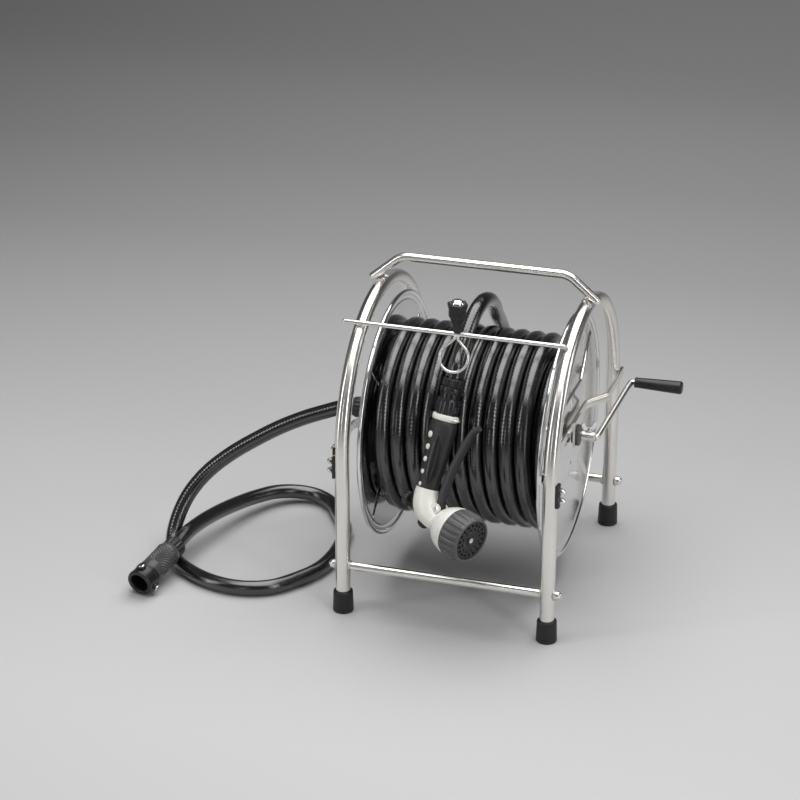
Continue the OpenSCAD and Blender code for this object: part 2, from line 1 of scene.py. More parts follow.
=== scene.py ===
"""Looks of a portable stainless hose reel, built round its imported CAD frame.

Lengths in this script are millimetres in the reel's own frame: X along the axle
from the middle between the hoops towards the crank, Y to the rear, Z up from the
floor. row() turns them into the frame's metres.
"""

import random
from math import acos, atan2, cos, degrees, pi, radians, sin, sqrt, tan

import bmesh
import bpy
from mathutils import Matrix, Vector


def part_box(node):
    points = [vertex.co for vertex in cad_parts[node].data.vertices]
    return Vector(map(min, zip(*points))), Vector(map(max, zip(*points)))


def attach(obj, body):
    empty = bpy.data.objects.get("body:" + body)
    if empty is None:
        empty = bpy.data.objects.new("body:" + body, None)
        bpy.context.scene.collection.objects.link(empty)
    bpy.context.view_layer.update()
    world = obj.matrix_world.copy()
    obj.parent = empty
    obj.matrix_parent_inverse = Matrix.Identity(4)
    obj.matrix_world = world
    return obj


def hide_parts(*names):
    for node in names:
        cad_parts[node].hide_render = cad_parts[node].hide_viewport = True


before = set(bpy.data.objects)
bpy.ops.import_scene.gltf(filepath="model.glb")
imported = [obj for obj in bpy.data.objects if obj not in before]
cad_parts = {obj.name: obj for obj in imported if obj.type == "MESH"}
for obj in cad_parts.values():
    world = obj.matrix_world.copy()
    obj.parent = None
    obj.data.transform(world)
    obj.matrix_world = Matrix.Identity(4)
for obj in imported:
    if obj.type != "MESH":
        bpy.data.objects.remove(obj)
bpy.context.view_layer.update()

MM = 0.001
REEL_X = (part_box("hoop_left")[0][0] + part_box("hoop_right")[1][0]) / 2
scene = bpy.context.scene

# Driving sizes, in millimetres.
TUBE_R = 9.55
HALF_W = 136.0
HALF_D = 173.5
ARC_Z = 216.5
ROD_R = 5.7
ROD_Z = 66.0
HANDLE_Z = 431.0
HANDLE_SLOPE = 40.0
AXLE_Z = 210.0
HANGER_Y = -100.0
HANGER_Z = 374.6
RING_X = -7.0
FLANGE_X = 117.0
FLANGE_R = 161.0
FLANGE_T = 1.4
RIM_BEAD_R = 2.98
HOSE_R = 10.0
GRIP_LEN = 65.0
GRIP_FROM = 172.2
CRANK_LIFT = 7.4
CRANK_THROW = 147.2
CRANK_R = 4.0
TAP_LEN = 93.0
STRAP_Z = 228.0
STRAP_IN = HALF_W - TUBE_R - 0.05 - 3.0
STRAP_OUT = HALF_W + TUBE_R + 0.05


def row(p):
    return Vector((p[0] * MM + REEL_X, p[1] * MM, p[2] * MM))


def move(x, y, z):
    return Matrix.Translation((x, y, z))


def turn(x=0.0, y=0.0, z=0.0):
    """Turns about X, then Y, then Z, in degrees."""
    made = Matrix.Identity(4)
    for angle, axis in ((x, "X"), (y, "Y"), (z, "Z")):
        made = Matrix.Rotation(radians(angle), 4, axis) @ made
    return made


def aim(direction):
    """Turns local +Z onto a direction."""
    d = Vector(direction).normalized()
    return turn(y=degrees(acos(d.z)), z=degrees(atan2(d.y, d.x)))


RIGHT = move(0, 0, AXLE_Z) @ turn(y=90)
LEFT = move(0, 0, AXLE_Z) @ turn(y=-90)
CRANK = move(0, 0, AXLE_Z) @ turn(x=CRANK_LIFT)
NOZZLE = move(-27, -172, 174) @ turn(-23, -2, -25)
HEAD = NOZZLE @ move(29, 0, -20) @ turn(y=98.5)
TAP_AT = Vector((-384, -130, 36.4))
TAP_WAY = Vector((-3.8, -17.8, -3.4))
TAP = move(*TAP_AT) @ aim(TAP_WAY)

# Routes of the two free hoses, as they lie in the CAD model.
INLET_ROUTE = [
    (-178, 0, 210), (-193, -0.5, 206.8), (-213, -2, 199.5), (-243, -5, 187.5),
    (-277, -10, 171),
    (-312, -16, 150), (-346, -25, 127), (-375, -38, 102), (-395, -56, 75),
    (-404, -77, 48), (-404, -97, 25), (-396, -115, 12), (-382, -132, 10.2),
    (-360, -150, 10.2), (-331, -166, 10.2), (-299, -174.5, 10.2),
    (-268, -173, 10.2), (-240, -160, 10.2), (-218, -134, 10.2),
    (-198, -98, 10.2), (-191, -58, 10.2), (-192, -18, 10.2), (-200, 28, 10.2),
    (-222, 66, 10.2), (-243, 96, 11), (-270, 110, 13), (-298, 107, 16),
    (-322, 90, 20), (-341, 60, 24), (-356, 22, 29), (-368, -20, 34),
    (-377, -62, 37.5), (-382, -98, 38.6), (-384, -130, 36.4),
]
TAIL_ROUTE = [
    (5, 142, 180), (4, 142, 215), (0, 136, 254), (-3, 121, 286), (-3, 98, 314),
    (-1, 70, 338), (2, 44, 360), (3, 16, 378), (2, -14, 386), (0, -44, 381),
    (-2, -70, 366), (-4, -90, 348), (-5, -104, 335),
]

# ---- camera
camera = bpy.data.objects.new("camera", bpy.data.cameras.new("camera"))
scene.collection.objects.link(camera)
camera.location = (0.762, -2.922, 1.594)
camera.rotation_euler = (radians(65.93), 0, radians(17.195))
camera.data.lens = 113.98
camera.data.sensor_width = 36
camera.data.clip_end = 60
scene.camera = camera


# ---- shapes
class Shape:
    """Faces gathered for one piece."""

    def __init__(self):
        self.points, self.faces, self.runs, self.slots = [], [], [], []

    def add(self, made, place=None, slot=0):
        """made is (points, faces) or (points, faces, runs); runs are UVs."""
        start = len(self.points)
        points = made[0] if place is None else [place @ Vector(p) for p in made[0]]
        self.points += [Vector(p) for p in points]
        self.faces += [[start + i for i in f] for f in made[1]]
        runs = made[2] if len(made) > 2 else [[(0, 0)] * len(f) for f in made[1]]
        self.runs += runs
        self.slots += [slot] * len(made[1])
        return self


def solid(made, place=None):
    return Shape().add(made, place)


def polar(r, a, z):
    return Vector((r * cos(a), r * sin(a), z))


def angles(n):
    return [2 * pi * k / n for k in range(n)]


def spread(start, stop, steps):
    """Angles from start to stop degrees, in radians."""
    return [radians(start + (stop - start) * k / steps) for k in range(steps + 1)]


def unit_circle(n):
    return [(cos(a), sin(a)) for a in angles(n)]


def stack(rings, closed=False, cap_start=True, cap_end=True, lengths=None):
    """Skins rings of equal count; lengths are the places along for the UVs."""
    n, m = len(rings[0]), len(rings)
    points = [p for ring in rings for p in ring]
    if lengths is None:
        lengths = list(range(m + 1))
    faces, runs = [], []
    for i in range(m if closed else m - 1):
        j = (i + 1) % m
        for k in range(n):
            q = (k + 1) % n
            faces.append([i * n + k, i * n + q, j * n + q, j * n + k])
            a, b, u, v = k / n, (k + 1) / n, lengths[i], lengths[i + 1]
            runs.append([(a, u), (b, u), (b, v), (a, v)])
    if not closed:
        for wanted, i, order in ((cap_start, 0, -1), (cap_end, m - 1, 1)):
            if wanted:
                faces.append([i * n + k for k in range(n)][::order])
                runs.append([(0.5, lengths[i])] * n)
    return points, faces, runs


def frames_along(path, side=None, closed=False):
    """(point, tangent, side, up) at each point; the side doesn't twist."""
    path = [Vector(p) for p in path]
    n = len(path)
    made = []
    for i, p in enumerate(path):
        if closed:
            t = path[(i + 1) % n] - path[i - 1]
        else:
            t = path[min(i + 1, n - 1)] - path[max(i - 1, 0)]
        t.normalize()
        if side is None:
            side = t.orthogonal()
        s = Vector(side) - t * t.dot(Vector(side))
        s.normalize()
        made.append((p, t, s, t.cross(s)))
        side = s
    return made


def tube(path, r, n=32, side=None, closed=False, ends="flat"):
    """Round bar along a path; r is a number or one per point."""
    frames = frames_along(path, side, closed)
    radii = list(r) if hasattr(r, "__len__") else [r] * len(frames)
    rings, lengths, run = [], [], 0.0
    circle = unit_circle(n)
    for i, (p, t, s, u) in enumerate(frames):
        if i:
            run += (p - frames[i - 1][0]).length * MM
        rings.append([p + radii[i] * (c * s + d * u) for c, d in circle])
        lengths.append(run)
    if closed:
        run += (frames[0][0] - frames[-1][0]).length * MM
        return stack(rings, True, lengths=lengths + [run])
    if ends == "round":
        for at, sign in ((0, -1), (-1, 1)):
            p, t, s, u = frames[at]
            caps = []
            for a in (22, 45, 66, 84):
                q = p + sign * t * radii[at] * sin(radians(a))
                w = radii[at] * cos(radians(a))
                caps.append([q + w * (c * s + d * u) for c, d in circle])
            if sign < 0:
                rings = caps[::-1] + rings
                lengths = [lengths[0]] * 4 + lengths
            else:
                rings = rings + caps
                lengths = lengths + [lengths[-1]] * 4
    return stack(rings, lengths=lengths)


def sweep(path, section, side, scale=None, closed=False):
    """A section of (side, up) pairs carried along a path."""
    rings = []
    for i, (p, t, s, u) in enumerate(frames_along(path, side, closed)):
        k = scale[i] if scale else (1.0, 1.0)
        rings.append([p + a * k[0] * s + b * k[1] * u for a, b in section])
    return stack(rings, closed)


def lathe(profile, n=64, closed=False):
    """Turns (radius, z) pairs about local Z."""
    circle = unit_circle(n)
    rings = [[Vector((r * c, r * s, z)) for c, s in circle] for r, z in profile]
    return stack(
        rings,
        closed,
        cap_start=profile[0][0] > 1e-6,
        cap_end=profile[-1][0] > 1e-6,
    )


def rounded(outline, r, steps=3, closed=True):
    """Fillets the corners of an outline; r is a number or one per corner."""
    n = len(outline)
    made = []
    for i, q in enumerate(outline):
        q = Vector(q)
        want = r[i] if hasattr(r, "__len__") else r
        if (not closed and i in (0, n - 1)) or want <= 0:
            made.append(q)
            continue
        a, b = Vector(outline[i - 1]) - q, Vector(outline[(i + 1) % n]) - q
        angle = a.angle(b)
        if angle > pi - 0.02:
            made.append(q)
            continue
        cut = min(want / tan(angle / 2), a.length * 0.49, b.length * 0.49)
        radius = cut * tan(angle / 2)
        a.normalize()
        b.normalize()
        centre = q + (a + b).normalized() * (radius / sin(angle / 2))
        first, last = q + a * cut - centre, q + b * cut - centre
        for k in range(steps + 1):
            t = k / steps
            if len(q) == 3:
                made.append(centre + first.slerp(last, t) * radius)
            else:
                made.append(centre + slerp2(first, last, t))
    return made


def slerp2(a, b, t):
    angle = a.angle_signed(b)
    c, s = cos(-angle * t), sin(-angle * t)
    return Vector((a.x * c - a.y * s, a.x * s + a.y * c))


def turned(profile, r, n, steps=3):
    """A lathe with its profile's inner corners rounded."""
    return lathe(rounded(profile, r, steps, closed=False), n)


def hollow(profile, r, n, steps=3):
    """A lathe of a closed profile, all its corners rounded."""
    return lathe(rounded(profile, r, steps), n, closed=True)


def smooth_path(points, per=8):
    """A smooth curve through points, by a centripetal Catmull-Rom spline."""
    pts = [Vector(p) for p in points]
    pts = [2 * pts[0] - pts[1]] + pts + [2 * pts[-1] - pts[-2]]
    made = []
    for i in range(1, len(pts) - 2):
        p0, p1, p2, p3 = pts[i - 1 : i + 3]
        t1 = (p1 - p0).length ** 0.5
        t2 = t1 + (p2 - p1).length ** 0.5
        t3 = t2 + (p3 - p2).length ** 0.5
        for k in range(per):
            t = t1 + (t2 - t1) * k / per
            a1 = (t1 - t) / t1 * p0 + t / t1 * p1
            a2 = (t2 - t) / (t2 - t1) * p1 + (t - t1) / (t2 - t1) * p2
            a3 = (t3 - t) / (t3 - t2) * p2 + (t - t2) / (t3 - t2) * p3
            b1 = (t2 - t) / t2 * a1 + t / t2 * a2
            b2 = (t3 - t) / (t3 - t1) * a2 + (t - t1) / (t3 - t1) * a3
            made.append((t2 - t) / (t2 - t1) * b1 + (t - t1) / (t2 - t1) * b2)
    return made + [pts[-2]]


def prism(outline, low, high):
    """An outline in XY raised from z low to z high."""
    return stack([[Vector((*p[:2], z)) for p in outline] for z in (low, high)])


def polygon(r, n, start=0.0):
    return [tuple(polar(r, radians(start) + a, 0).xy) for a in angles(n)]


def block(lo, hi):
    return prism(
        [(lo[0], lo[1]), (hi[0], lo[1]), (hi[0], hi[1]), (lo[0], hi[1])], lo[2], hi[2]
    )


def fluted(profile, n, count, depth, sharp=1.0, closed=False):
    """A lathe whose radius dips between count ribs. profile: (r, z, share)."""
    def dip(a):
        return 1 - (0.5 - 0.5 * cos(a * count)) ** sharp

    return stack([[polar(r - depth * share * dip(a), a, z) for a in angles(n)]
                  for r, z, share in profile], closed=closed)


def weld_bead(radius, bead, seed):
    """An uneven ring of weld about local Z."""
    rng = random.Random(seed)
    count = 22
    phase = rng.random() * 6
    path = [polar(radius, a, 0) for a in angles(count * 6)]
    radii = [bead * (0.86 + 0.14 * cos(a * count + phase)) for a in angles(count * 6)]
    return tube(path, radii, 12, side=(0, 0, 1), closed=True)


def weld_spot(r, height, seed):
    """A small uneven dome of weld."""
    rng = random.Random(seed)
    rings = []
    for j in range(7):
        a = radians(90 * j / 6.2)
        ring = []
        for t in angles(24):
            w = r * cos(a) * (1 + 0.1 * sin(3 * t + seed) + 0.03 * rng.random())
            ring.append(polar(w, t, height * sin(a)))
        rings.append(ring)
    return stack(rings)


def piece(name, shape, looks, body, nodes=(), slot=None, bevel=0.0, sharp=35.0):
    """Makes the shape an object that rides on a body and stands for nodes."""
    mesh = bpy.data.meshes.new(name)
    mesh.from_pydata([row(p) for p in shape.points], [], shape.faces)
    if any(v != (0, 0) for run in shape.runs[:4] for v in run):
        layer = mesh.uv_layers.new(name="run")
        flat = [c for run in shape.runs for uv in run for c in uv]
        layer.data.foreach_set("uv", flat)
    for look in looks:
        mesh.materials.append(look)
    mesh.polygons.foreach_set("material_index", shape.slots)
    bm = bmesh.new()
    bm.from_mesh(mesh)
    bmesh.ops.recalc_face_normals(bm, faces=bm.faces)
    for f in bm.faces:
        f.smooth = True
    bm.to_mesh(mesh)
    bm.free()
    obj = bpy.data.objects.new(name, mesh)
    scene.collection.objects.link(obj)
    if bevel:
        edges = obj.modifiers.new("edges", "BEVEL")
        edges.width = bevel * MM
        edges.segments = 2
        edges.limit_method = "ANGLE"
        edges.angle_limit = radians(32)
        edges.use_clamp_overlap = True
        edges.harden_normals = True
    else:
        mesh.set_sharp_from_angle(angle=radians(sharp))
    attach(obj, body)
    if nodes:
        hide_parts(*nodes)
    return obj


# ---- materials
class Look:
    """A material and the nodes that make it."""

    def __init__(self, name):
        self.material = bpy.data.materials.new(name)
        self.material.use_nodes = True
        self.nodes = self.material.node_tree.nodes
        self.link = self.material.node_tree.links.new
        self.shader = self.nodes["Principled BSDF"]
        self.inputs = self.shader.inputs

    def set(self, socket, value):
        self.inputs[socket].default_value = value

    def place(self):
        return self.nodes.new("ShaderNodeTexCoord").outputs["Object"]

    def noise(self, scale, detail=4.0, stretch=None, rough=0.55):
        """Noise in the object's own coordinates, as a 0 to 1 factor."""
        where = self.place()
        if stretch:
            mapping = self.nodes.new("ShaderNodeMapping")
            mapping.inputs["Scale"].default_value = stretch
            self.link(where, mapping.inputs["Vector"])
            where = mapping.outputs["Vector"]
        tex = self.nodes.new("ShaderNodeTexNoise")
        tex.inputs["Scale"].default_value = scale
        tex.inputs["Detail"].default_value = detail
        tex.inputs["Roughness"].default_value = rough
        self.link(where, tex.inputs["Vector"])
        return tex.outputs["Fac"]

    def ramp(self, fac, low, high, start=0.3, stop=0.7):
        """Maps a factor from start..stop onto two colours or two numbers."""
        if hasattr(low, "__len__"):
            node = self.nodes.new("ShaderNodeValToRGB")
            ends = node.color_ramp.elements
            ends[0].position, ends[1].position = start, stop
            ends[0].color, ends[1].color = (*low, 1), (*high, 1)
            self.link(fac, node.inputs["Fac"])
            return node.outputs["Color"]
        node = self.nodes.new("ShaderNodeMapRange")
        for key, value in (("From Min", start), ("From Max", stop),
                           ("To Min", low), ("To Max", high)):
            node.inputs[key].default_value = value
        self.link(fac, node.inputs["Value"])
        return node.outputs["Result"]

    def bump(self, height, strength, distance):
        node = self.nodes.new("ShaderNodeBump")
        node.inputs["Strength"].default_value = strength
        node.inputs["Distance"].default_value = distance
        self.link(height, node.inputs["Height"])
        self.link(node.outputs["Normal"], self.inputs["Normal"])

    def math(self, kind, *values):
        node = self.nodes.new("ShaderNodeMath")
        node.operation = kind
        for socket, value in zip(node.inputs, values):
            if isinstance(value, (int, float)):
                socket.default_value = value
            else:
                self.link(value, socket)
        return node.outputs[0]

    def split(self, vector):
        node = self.nodes.new("ShaderNodeSeparateXYZ")
        self.link(vector, node.inputs[0])
        return node.outputs


def metal(name, tone, rough, spread_by=0.05, stretch=(1, 1, 1), fine=900,
          tint=(1, 1, 1), lines=0.02, wave=0.0, brushed=0.0):
    """Polished metal: faint clouds, fine grain and, on sheet, a slow swell."""
    look = Look(name)
    look.set("Metallic", 1.0)
    patch = look.noise(18, 3)
    dark = tuple(tone * 0.93 * t for t in tint)
    light = tuple(tone * t for t in tint)
    look.link(look.ramp(patch, dark, light), look.inputs["Base Color"])
    streak = look.noise(fine, 3, stretch)
    both = look.math("MULTIPLY", look.math("ADD", streak, patch), 0.5)
    low, high = max(0.03, rough - spread_by), rough + spread_by
    look.link(look.ramp(both, low, high, 0.35, 0.65), look.inputs["Roughness"])
    if brushed:
        # Polished round the bar, so highlights draw out along it.
        grain = look.nodes.new("ShaderNodeTangent")
        grain.direction_type = "UV_MAP"
        grain.uv_map = "run"
        look.link(grain.outputs["Tangent"], look.inputs["Tangent"])
        look.set("Anisotropic", brushed)
        look.set("Anisotropic Rotation", 0.25)
    if wave:
        swell = look.math("MULTIPLY", look.noise(7, 1), wave)
        look.bump(look.math("ADD", look.math("MULTIPLY", streak, lines), swell), 0.35, 0.004)
    else:
        look.bump(streak, lines, 0.001)
    return look.material


def plastic(name, low, high, rough, grain=2600, depth=0.05, coat=0.0, edge_pale=0.0):
    """Moulded plastic or rubber: fine grain, faint patches and paler edges."""
    look = Look(name)
    patch = look.noise(34, 5)
    colour = look.ramp(patch, low, high)
    if edge_pale:
        # Convex edges, picked by pointiness, are made paler.
        edge_mix = look.nodes.new("ShaderNodeMix")
        edge_mix.data_type = "RGBA"
        edge = look.nodes.new("ShaderNodeNewGeometry").outputs["Pointiness"]
        look.link(look.ramp(edge, 0.0, edge_pale, 0.52, 0.62), edge_mix.inputs["Factor"])
        look.link(colour, edge_mix.inputs["A"])
        edge_mix.inputs["B"].default_value = (*[min(1, h * 1.8 + 0.03) for h in high], 1)
        colour = edge_mix.outputs["Result"]
    look.link(colour, look.inputs["Base Color"])
    fine = look.noise(grain, 2)
    look.link(look.ramp(patch, rough - 0.05, rough + 0.06), look.inputs["Roughness"])
    look.bump(fine, depth, 0.0006)
    look.set("Coat Weight", coat)
    look.set("Coat Roughness", 0.15)
    return look.material


STRANDS = 14
CELL = 0.0046


def hose_look(name):
    """Glossy black hose with its braid faintly raised under the skin."""
    look = Look(name)
    uv = look.nodes.new("ShaderNodeUVMap")
    uv.uv_map = "run"
    split = look.split(uv.outputs["UV"])
    turns = look.math("MULTIPLY", split["X"], STRANDS * pi)
    along = look.math("MULTIPLY", split["Y"], pi / CELL)
    one = look.math("SINE", look.math("ADD", turns, along))
    two = look.math("SINE", look.math("SUBTRACT", turns, along))
    braid = look.math("ABSOLUTE", look.math("MULTIPLY", one, two))
    scuff = look.noise(60, 6)
    look.link(look.ramp(scuff, (0.004, 0.004, 0.0045), (0.009, 0.009, 0.010)),
              look.inputs["Base Color"])
    rough = look.math("ADD", look.ramp(scuff, 0.09, 0.17, 0.35, 0.75),
                      look.math("MULTIPLY", braid, 0.05))
    look.link(rough, look.inputs["Roughness"])
    low = look.noise(25, 2)
    look.bump(look.math("ADD", look.math("MULTIPLY", braid, 0.5), low), 0.42, 0.0006)
    look.set("Specular IOR Level", 0.9)
    look.set("Coat Weight", 0.7)
    look.set("Coat Roughness", 0.12)
    return look.material


WARM = (1.0, 0.972, 0.93)
steel = metal("polished_tube", 0.9, 0.24, 0.03, (1, 1, 1), 420, WARM, lines=0.004, brushed=0.72)
steel_bar = metal("polished_bar", 0.86, 0.22, 0.04, (1, 6, 1), 400, WARM, lines=0.01)
sheet_steel = metal("flange_sheet", 0.84, 0.12, 0.04, (1, 1, 1), 400, lines=0.01, wave=0.6)
weld = metal("weld", 0.66, 0.32, 0.08, tint=(1, 0.97, 0.92), fine=1500, lines=0.25)
bright = metal("bright_screw", 0.88, 0.14, 0.04)
plated = metal("plated_brass", 0.7, 0.22, 0.06, tint=(1.0, 0.86, 0.58))
hose_skin = hose_look("hose_skin")
foot_rubber = plastic("foot_rubber", (0.006,) * 3, (0.011,) * 3, 0.5, 1800, 0.12, edge_pale=0.15)
black = plastic("black_plastic", (0.006,) * 3, (0.011, 0.011, 0.012), 0.33, 2400, 0.06,
                edge_pale=0.15)
nylon = plastic("nylon", (0.05,) * 3, (0.07,) * 3, 0.45)
grey = plastic("grey_plastic", (0.068, 0.068, 0.068), (0.092, 0.093, 0.092), 0.4, edge_pale=0.35)
knurl_grey = plastic("knurl_plastic", (0.05, 0.05, 0.052), (0.075, 0.075, 0.078), 0.34,
                     edge_pale=0.6)
trigger_grey = plastic("trigger_grey", (0.024, 0.024, 0.026), (0.034, 0.034, 0.037), 0.42,
                       edge_pale=0.25)
dark_grey = plastic("grip_rubber", (0.02, 0.02, 0.021), (0.028, 0.028, 0.03), 0.46, 1500, 0.2)
smoke = plastic("connector_plastic", (0.012, 0.012, 0.014), (0.022, 0.022, 0.025), 0.24,
                edge_pale=0.3)
cream = plastic("cream_plastic", (0.78, 0.765, 0.70), (0.84, 0.825, 0.765), 0.28, 1200, 0.03,
                coat=0.25)
inlay_black = plastic("inlay_rubber", (0.008,) * 3, (0.013,) * 3, 0.3, 1500, 0.1)


SLOTS = (
    ((steel, steel_bar, sheet_steel, bright), "polished_stainless"),
    ((black, inlay_black), "black_plastic"), ((grey, knurl_grey, trigger_grey), "grey_plastic"),
    ((dark_grey, smoke), "dark_grey_plastic"), ((cream,), "cream_plastic"),
    ((plated,), "plated_brass"), ((nylon,), "grey_nylon"),
    ((foot_rubber,), "foot_rubber"), ((hose_skin,), "hose_rubber"))


def part(node, suffix, shape, looks, body="frame", slot=None, **edges):
    """A piece that stands for one node; a slot name is worked out from the first look, but
    piece() leaves it unused.
    """
    slot = slot or next(name for some, name in SLOTS if looks[0] in some)
    return piece(f"{node}_{suffix}", shape, looks, body, [node], slot, **edges)


def dress(node, material):
    """Gives a CAD node that stays a material."""
    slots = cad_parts[node].data.materials
    slots.clear()
    slots.append(material)


# ---- hoop frame
def arc_points(centre, r, start, stop, steps, plane="yz", fixed=0.0):
    made = []
    for a in spread(start, stop, steps):
        u, v = centre[0] + r * cos(a), centre[1] + r * sin(a)
        made.append((fixed, u, v) if plane == "yz" else (u, fixed, v))
    return made


for side, name in ((-1, "left"), (1, "right")):
    x = side * HALF_W
    path = (
        [(x, HALF_D, z) for z in (5, 40, 90, 140, 190)]
        + arc_points((0, ARC_Z), HALF_D, 0, 180, 96, fixed=x)
        + [(x, -HALF_D, z) for z in (190, 140, 90, 40, 5)]
    )
    hoop = solid(tube(path, TUBE_R, 56, side=(1, 0, 0)))
    for y in (-HALF_D, HALF_D):
        for way in (-1, 1):
            place = move(x + way * TUBE_R * 0.97, y, ROD_Z) @ turn(y=90)
            hoop.add(weld_bead(ROD_R + 0.6, 1.1, int(x + y)), place, 1)
    part(f"hoop_{name}", "tube", hoop, [steel, weld])

FOOT = [(0, 0.6), (8, 0.6), (8.8, 0), (12.6, 0), (13.5, 1.4), (13.5, 3.4), (12.9, 4.2),
        (12.9, 5.2), (13.4, 6.0), (12.9, 24.5), (12.6, 28.4), (11.6, 29.6), (10.6, 30),
        (9.75, 29.2), (9.62, 20)]
for node, sx, sy in (("foot_front_left", -1, -1), ("foot_front_right", 1, -1),
                     ("foot_rear_left", -1, 1), ("foot_rear_right", 1, 1)):
    place = move(sx * HALF_W, sy * HALF_D, 0)
    foot = solid(turned(FOOT, 0.5, 64), place)
    part(node, "cap", foot, [foot_rubber])

rod_reach = HALF_W + 13
for node, sy in (("lower_rod_front", -1), ("lower_rod_rear", 1)):
    rod = solid(
        tube([(x, sy * HALF_D, ROD_Z) for x in (-rod_reach, -60, 60, rod_reach)], ROD_R,
             40, side=(0, 1, 0), ends="round"))
    part(node, "bar", rod, [steel])

on_hoop = (TUBE_R + ROD_R + 0.05) / cos(radians(HANDLE_SLOPE))
slope = tan(radians(HANDLE_SLOPE))
corner = HALF_W - (HANDLE_Z - (ARC_Z + HALF_D) - on_hoop) / slope
tip = HALF_W + 12.4
tip_z = HANDLE_Z - (tip - corner) * slope
handle_path = rounded(
    [(-tip, 0, tip_z), (-corner, 0, HANDLE_Z), (corner, 0, HANDLE_Z), (tip, 0, tip_z)],
    30, 14, closed=False)
handle = solid(tube(handle_path, ROD_R, 40, side=(0, 1, 0), ends="round"))
for side in (-1, 1):
    for y in (-4.4, 4.4):
        touch = move(side * (HALF_W - 2.5), y, ARC_Z + HALF_D + TUBE_R - 0.6)
        handle.add(weld_spot(3.6, 2.6, side * 3 + int(y)), touch, 1)
part("carry_handle", "bar", handle, [steel, weld])

hanger = solid(
    tube([(x, HANGER_Y, HANGER_Z) for x in (-155, -60, 60, 131)], 3.0, 28,
         side=(0, 1, 0), ends="round"))
inward = Vector((0, -HANGER_Y, ARC_Z - HANGER_Z)).normalized()
for x in (-HALF_W, HALF_W - 4):
    base = Vector((x, HANGER_Y, HANGER_Z)) + inward * 2.0
    hanger.add(weld_bead(2.6, 1.2, int(x)), move(*base) @ aim(inward), 1)
part("hanger_rod", "bar", hanger, [steel, weld])

# ---- bearing straps
FLAT = [tuple(p) for p in rounded([(-1.5, -6), (1.5, -6), (1.5, 6), (-1.5, 6)], 0.8, 3)]
TAB_X, TAB_R, TAB_TOP, TAB_BORE = STRAP_IN + 3, 17.0, 24.0, 10.05


def strap_shape(flip):
    place = turn(z=180 if flip else 0)
    middle = STRAP_IN + 1.5
    outer = STRAP_OUT + 1.5
    path = rounded(
        [(middle, -HALF_D - 9, STRAP_Z), (middle, 56, STRAP_Z), (outer, 92, STRAP_Z),
         (outer, HALF_D + 9, STRAP_Z)], 12, 8, closed=False)
    shape = solid(sweep(path, FLAT, side=(1, 0, 0)), place)
    # The bearing tab: a round lower end, a square top and a hole.
    ring_out, ring_in = [], []
    for c, s in unit_circle(72):
        reach = TAB_R
        if s > 0:
            reach = min(TAB_R / max(abs(c), 1e-6), TAB_TOP / max(abs(s), 1e-6))
        ring_out.append((reach * c, reach * s))
        ring_in.append((TAB_BORE * c, TAB_BORE * s))
    rings = [
        [Vector((TAB_X + dx, y, AXLE_Z + z)) for y, z in ring]
        for ring, dx in ((ring_in, 0.3), (ring_in, 2.7), (ring_out, 3.0), (ring_out, 0.05))
    ]
    shape.add(stack(rings, closed=True), place)
    # Weld fillets where the bar meets the two legs.
    for y, x in ((-HALF_D, STRAP_IN + 3), (HALF_D, STRAP_OUT)):
        for z in (STRAP_Z - 6, STRAP_Z + 6):
            bead = tube([(x, y - 4.5 + 1.5 * i, z) for i in range(7)],
                        [0.7, 1.15, 0.95, 1.2, 0.95, 1.15, 0.7], 10, ends="round")
            shape.add(bead, place, 1)
    return shape


for name, flip in (("right", False), ("left", True)):
    part(f"strap_{name}", "bar", strap_shape(flip), [steel_bar, weld])

for name, place, bore in (("right", RIGHT, 6.04), ("left", LEFT, 8.04)):
    profile = rounded(
        [(bore, 122.6), (11.5, 122.6), (11.5, 126.3), (9.98, 126.3), (9.98, TAB_X + 3),
         (14, TAB_X + 3), (14, TAB_X + 6), (bore, TAB_X + 6)], 0.5, 3)
    bush = solid(lathe(profile, 56, closed=True), place)
    part(f"bush_{name}", "ring", bush, [nylon])

# ---- ring and peg
LOOP_R, RING_DROP, RING_TILT = 18.6, 29.6, 26.0
neck = (3.0, 22.4)
ring_place = move(RING_X, HANGER_Y, HANGER_Z) @ turn(x=-RING_TILT) @ move(0, 0, -RING_DROP)
wire = [(-2.1, 0, 26.4), (-2.6, 0, 24.4), (-neck[0] - 0.4, 0, neck[1] - 0.6)]
wire += arc_points((0, 0), LOOP_R, 140, 400, 60, plane="xz")
wire += [(neck[0] + 0.4, 0, neck[1] - 0.6), (2.6, 0, 24.4), (2.1, 0, 26.4)]
ring = solid(tube(smooth_path(wire, 2), 2.0, 20, side=(0, 1, 0), ends="round"), ring_place)
ring.add(weld_spot(3.4, 2.4, 5), move(RING_X, HANGER_Y - 1.2, HANGER_Z - 4.6) @ turn(x=180), 1)
ring.add(weld_spot(3.0, 2.2, 9), move(RING_X, HANGER_Y + 0.6, HANGER_Z - 4.2) @ turn(x=160), 1)
part("nozzle_ring", "wire", ring, [steel, weld])

peg_place = move(RING_X + 0.5, HANGER_Y, HANGER_Z)
peg = solid(
    turned([(0, 3.15), (4.6, 3.15), (5.2, 4.2), (5.1, 8), (6, 13), (9.2, 21.4),
            (10.0, 23.4), (10.0, 24)], 0.8, 48), peg_place)
peg.add(fluted([(10.4, 23.6, 0.2), (11.2, 24.6, 1), (11.25, 33, 1), (10.6, 34.4, 0.2)],
               144, 12, 1.5, 0.7), peg_place)
for outline_r, low, high in ((12.6, 34.2, 37.6), (13.5, 37.4, 41.8)):
    peg.add(prism(rounded(polygon(outline_r, 6), 1.6, 4), low, high), peg_place)
part("hose_peg", "knob", peg, [black], bevel=0.5)
cap = solid(turned([(9.2, 41.7), (9.2, 42.4), (8.4, 44), (6.2, 45.9), (3.2, 46.8), (0, 47)],
                   0.6, 48, 4), peg_place)
part("peg_cap", "dome", cap, [bright])

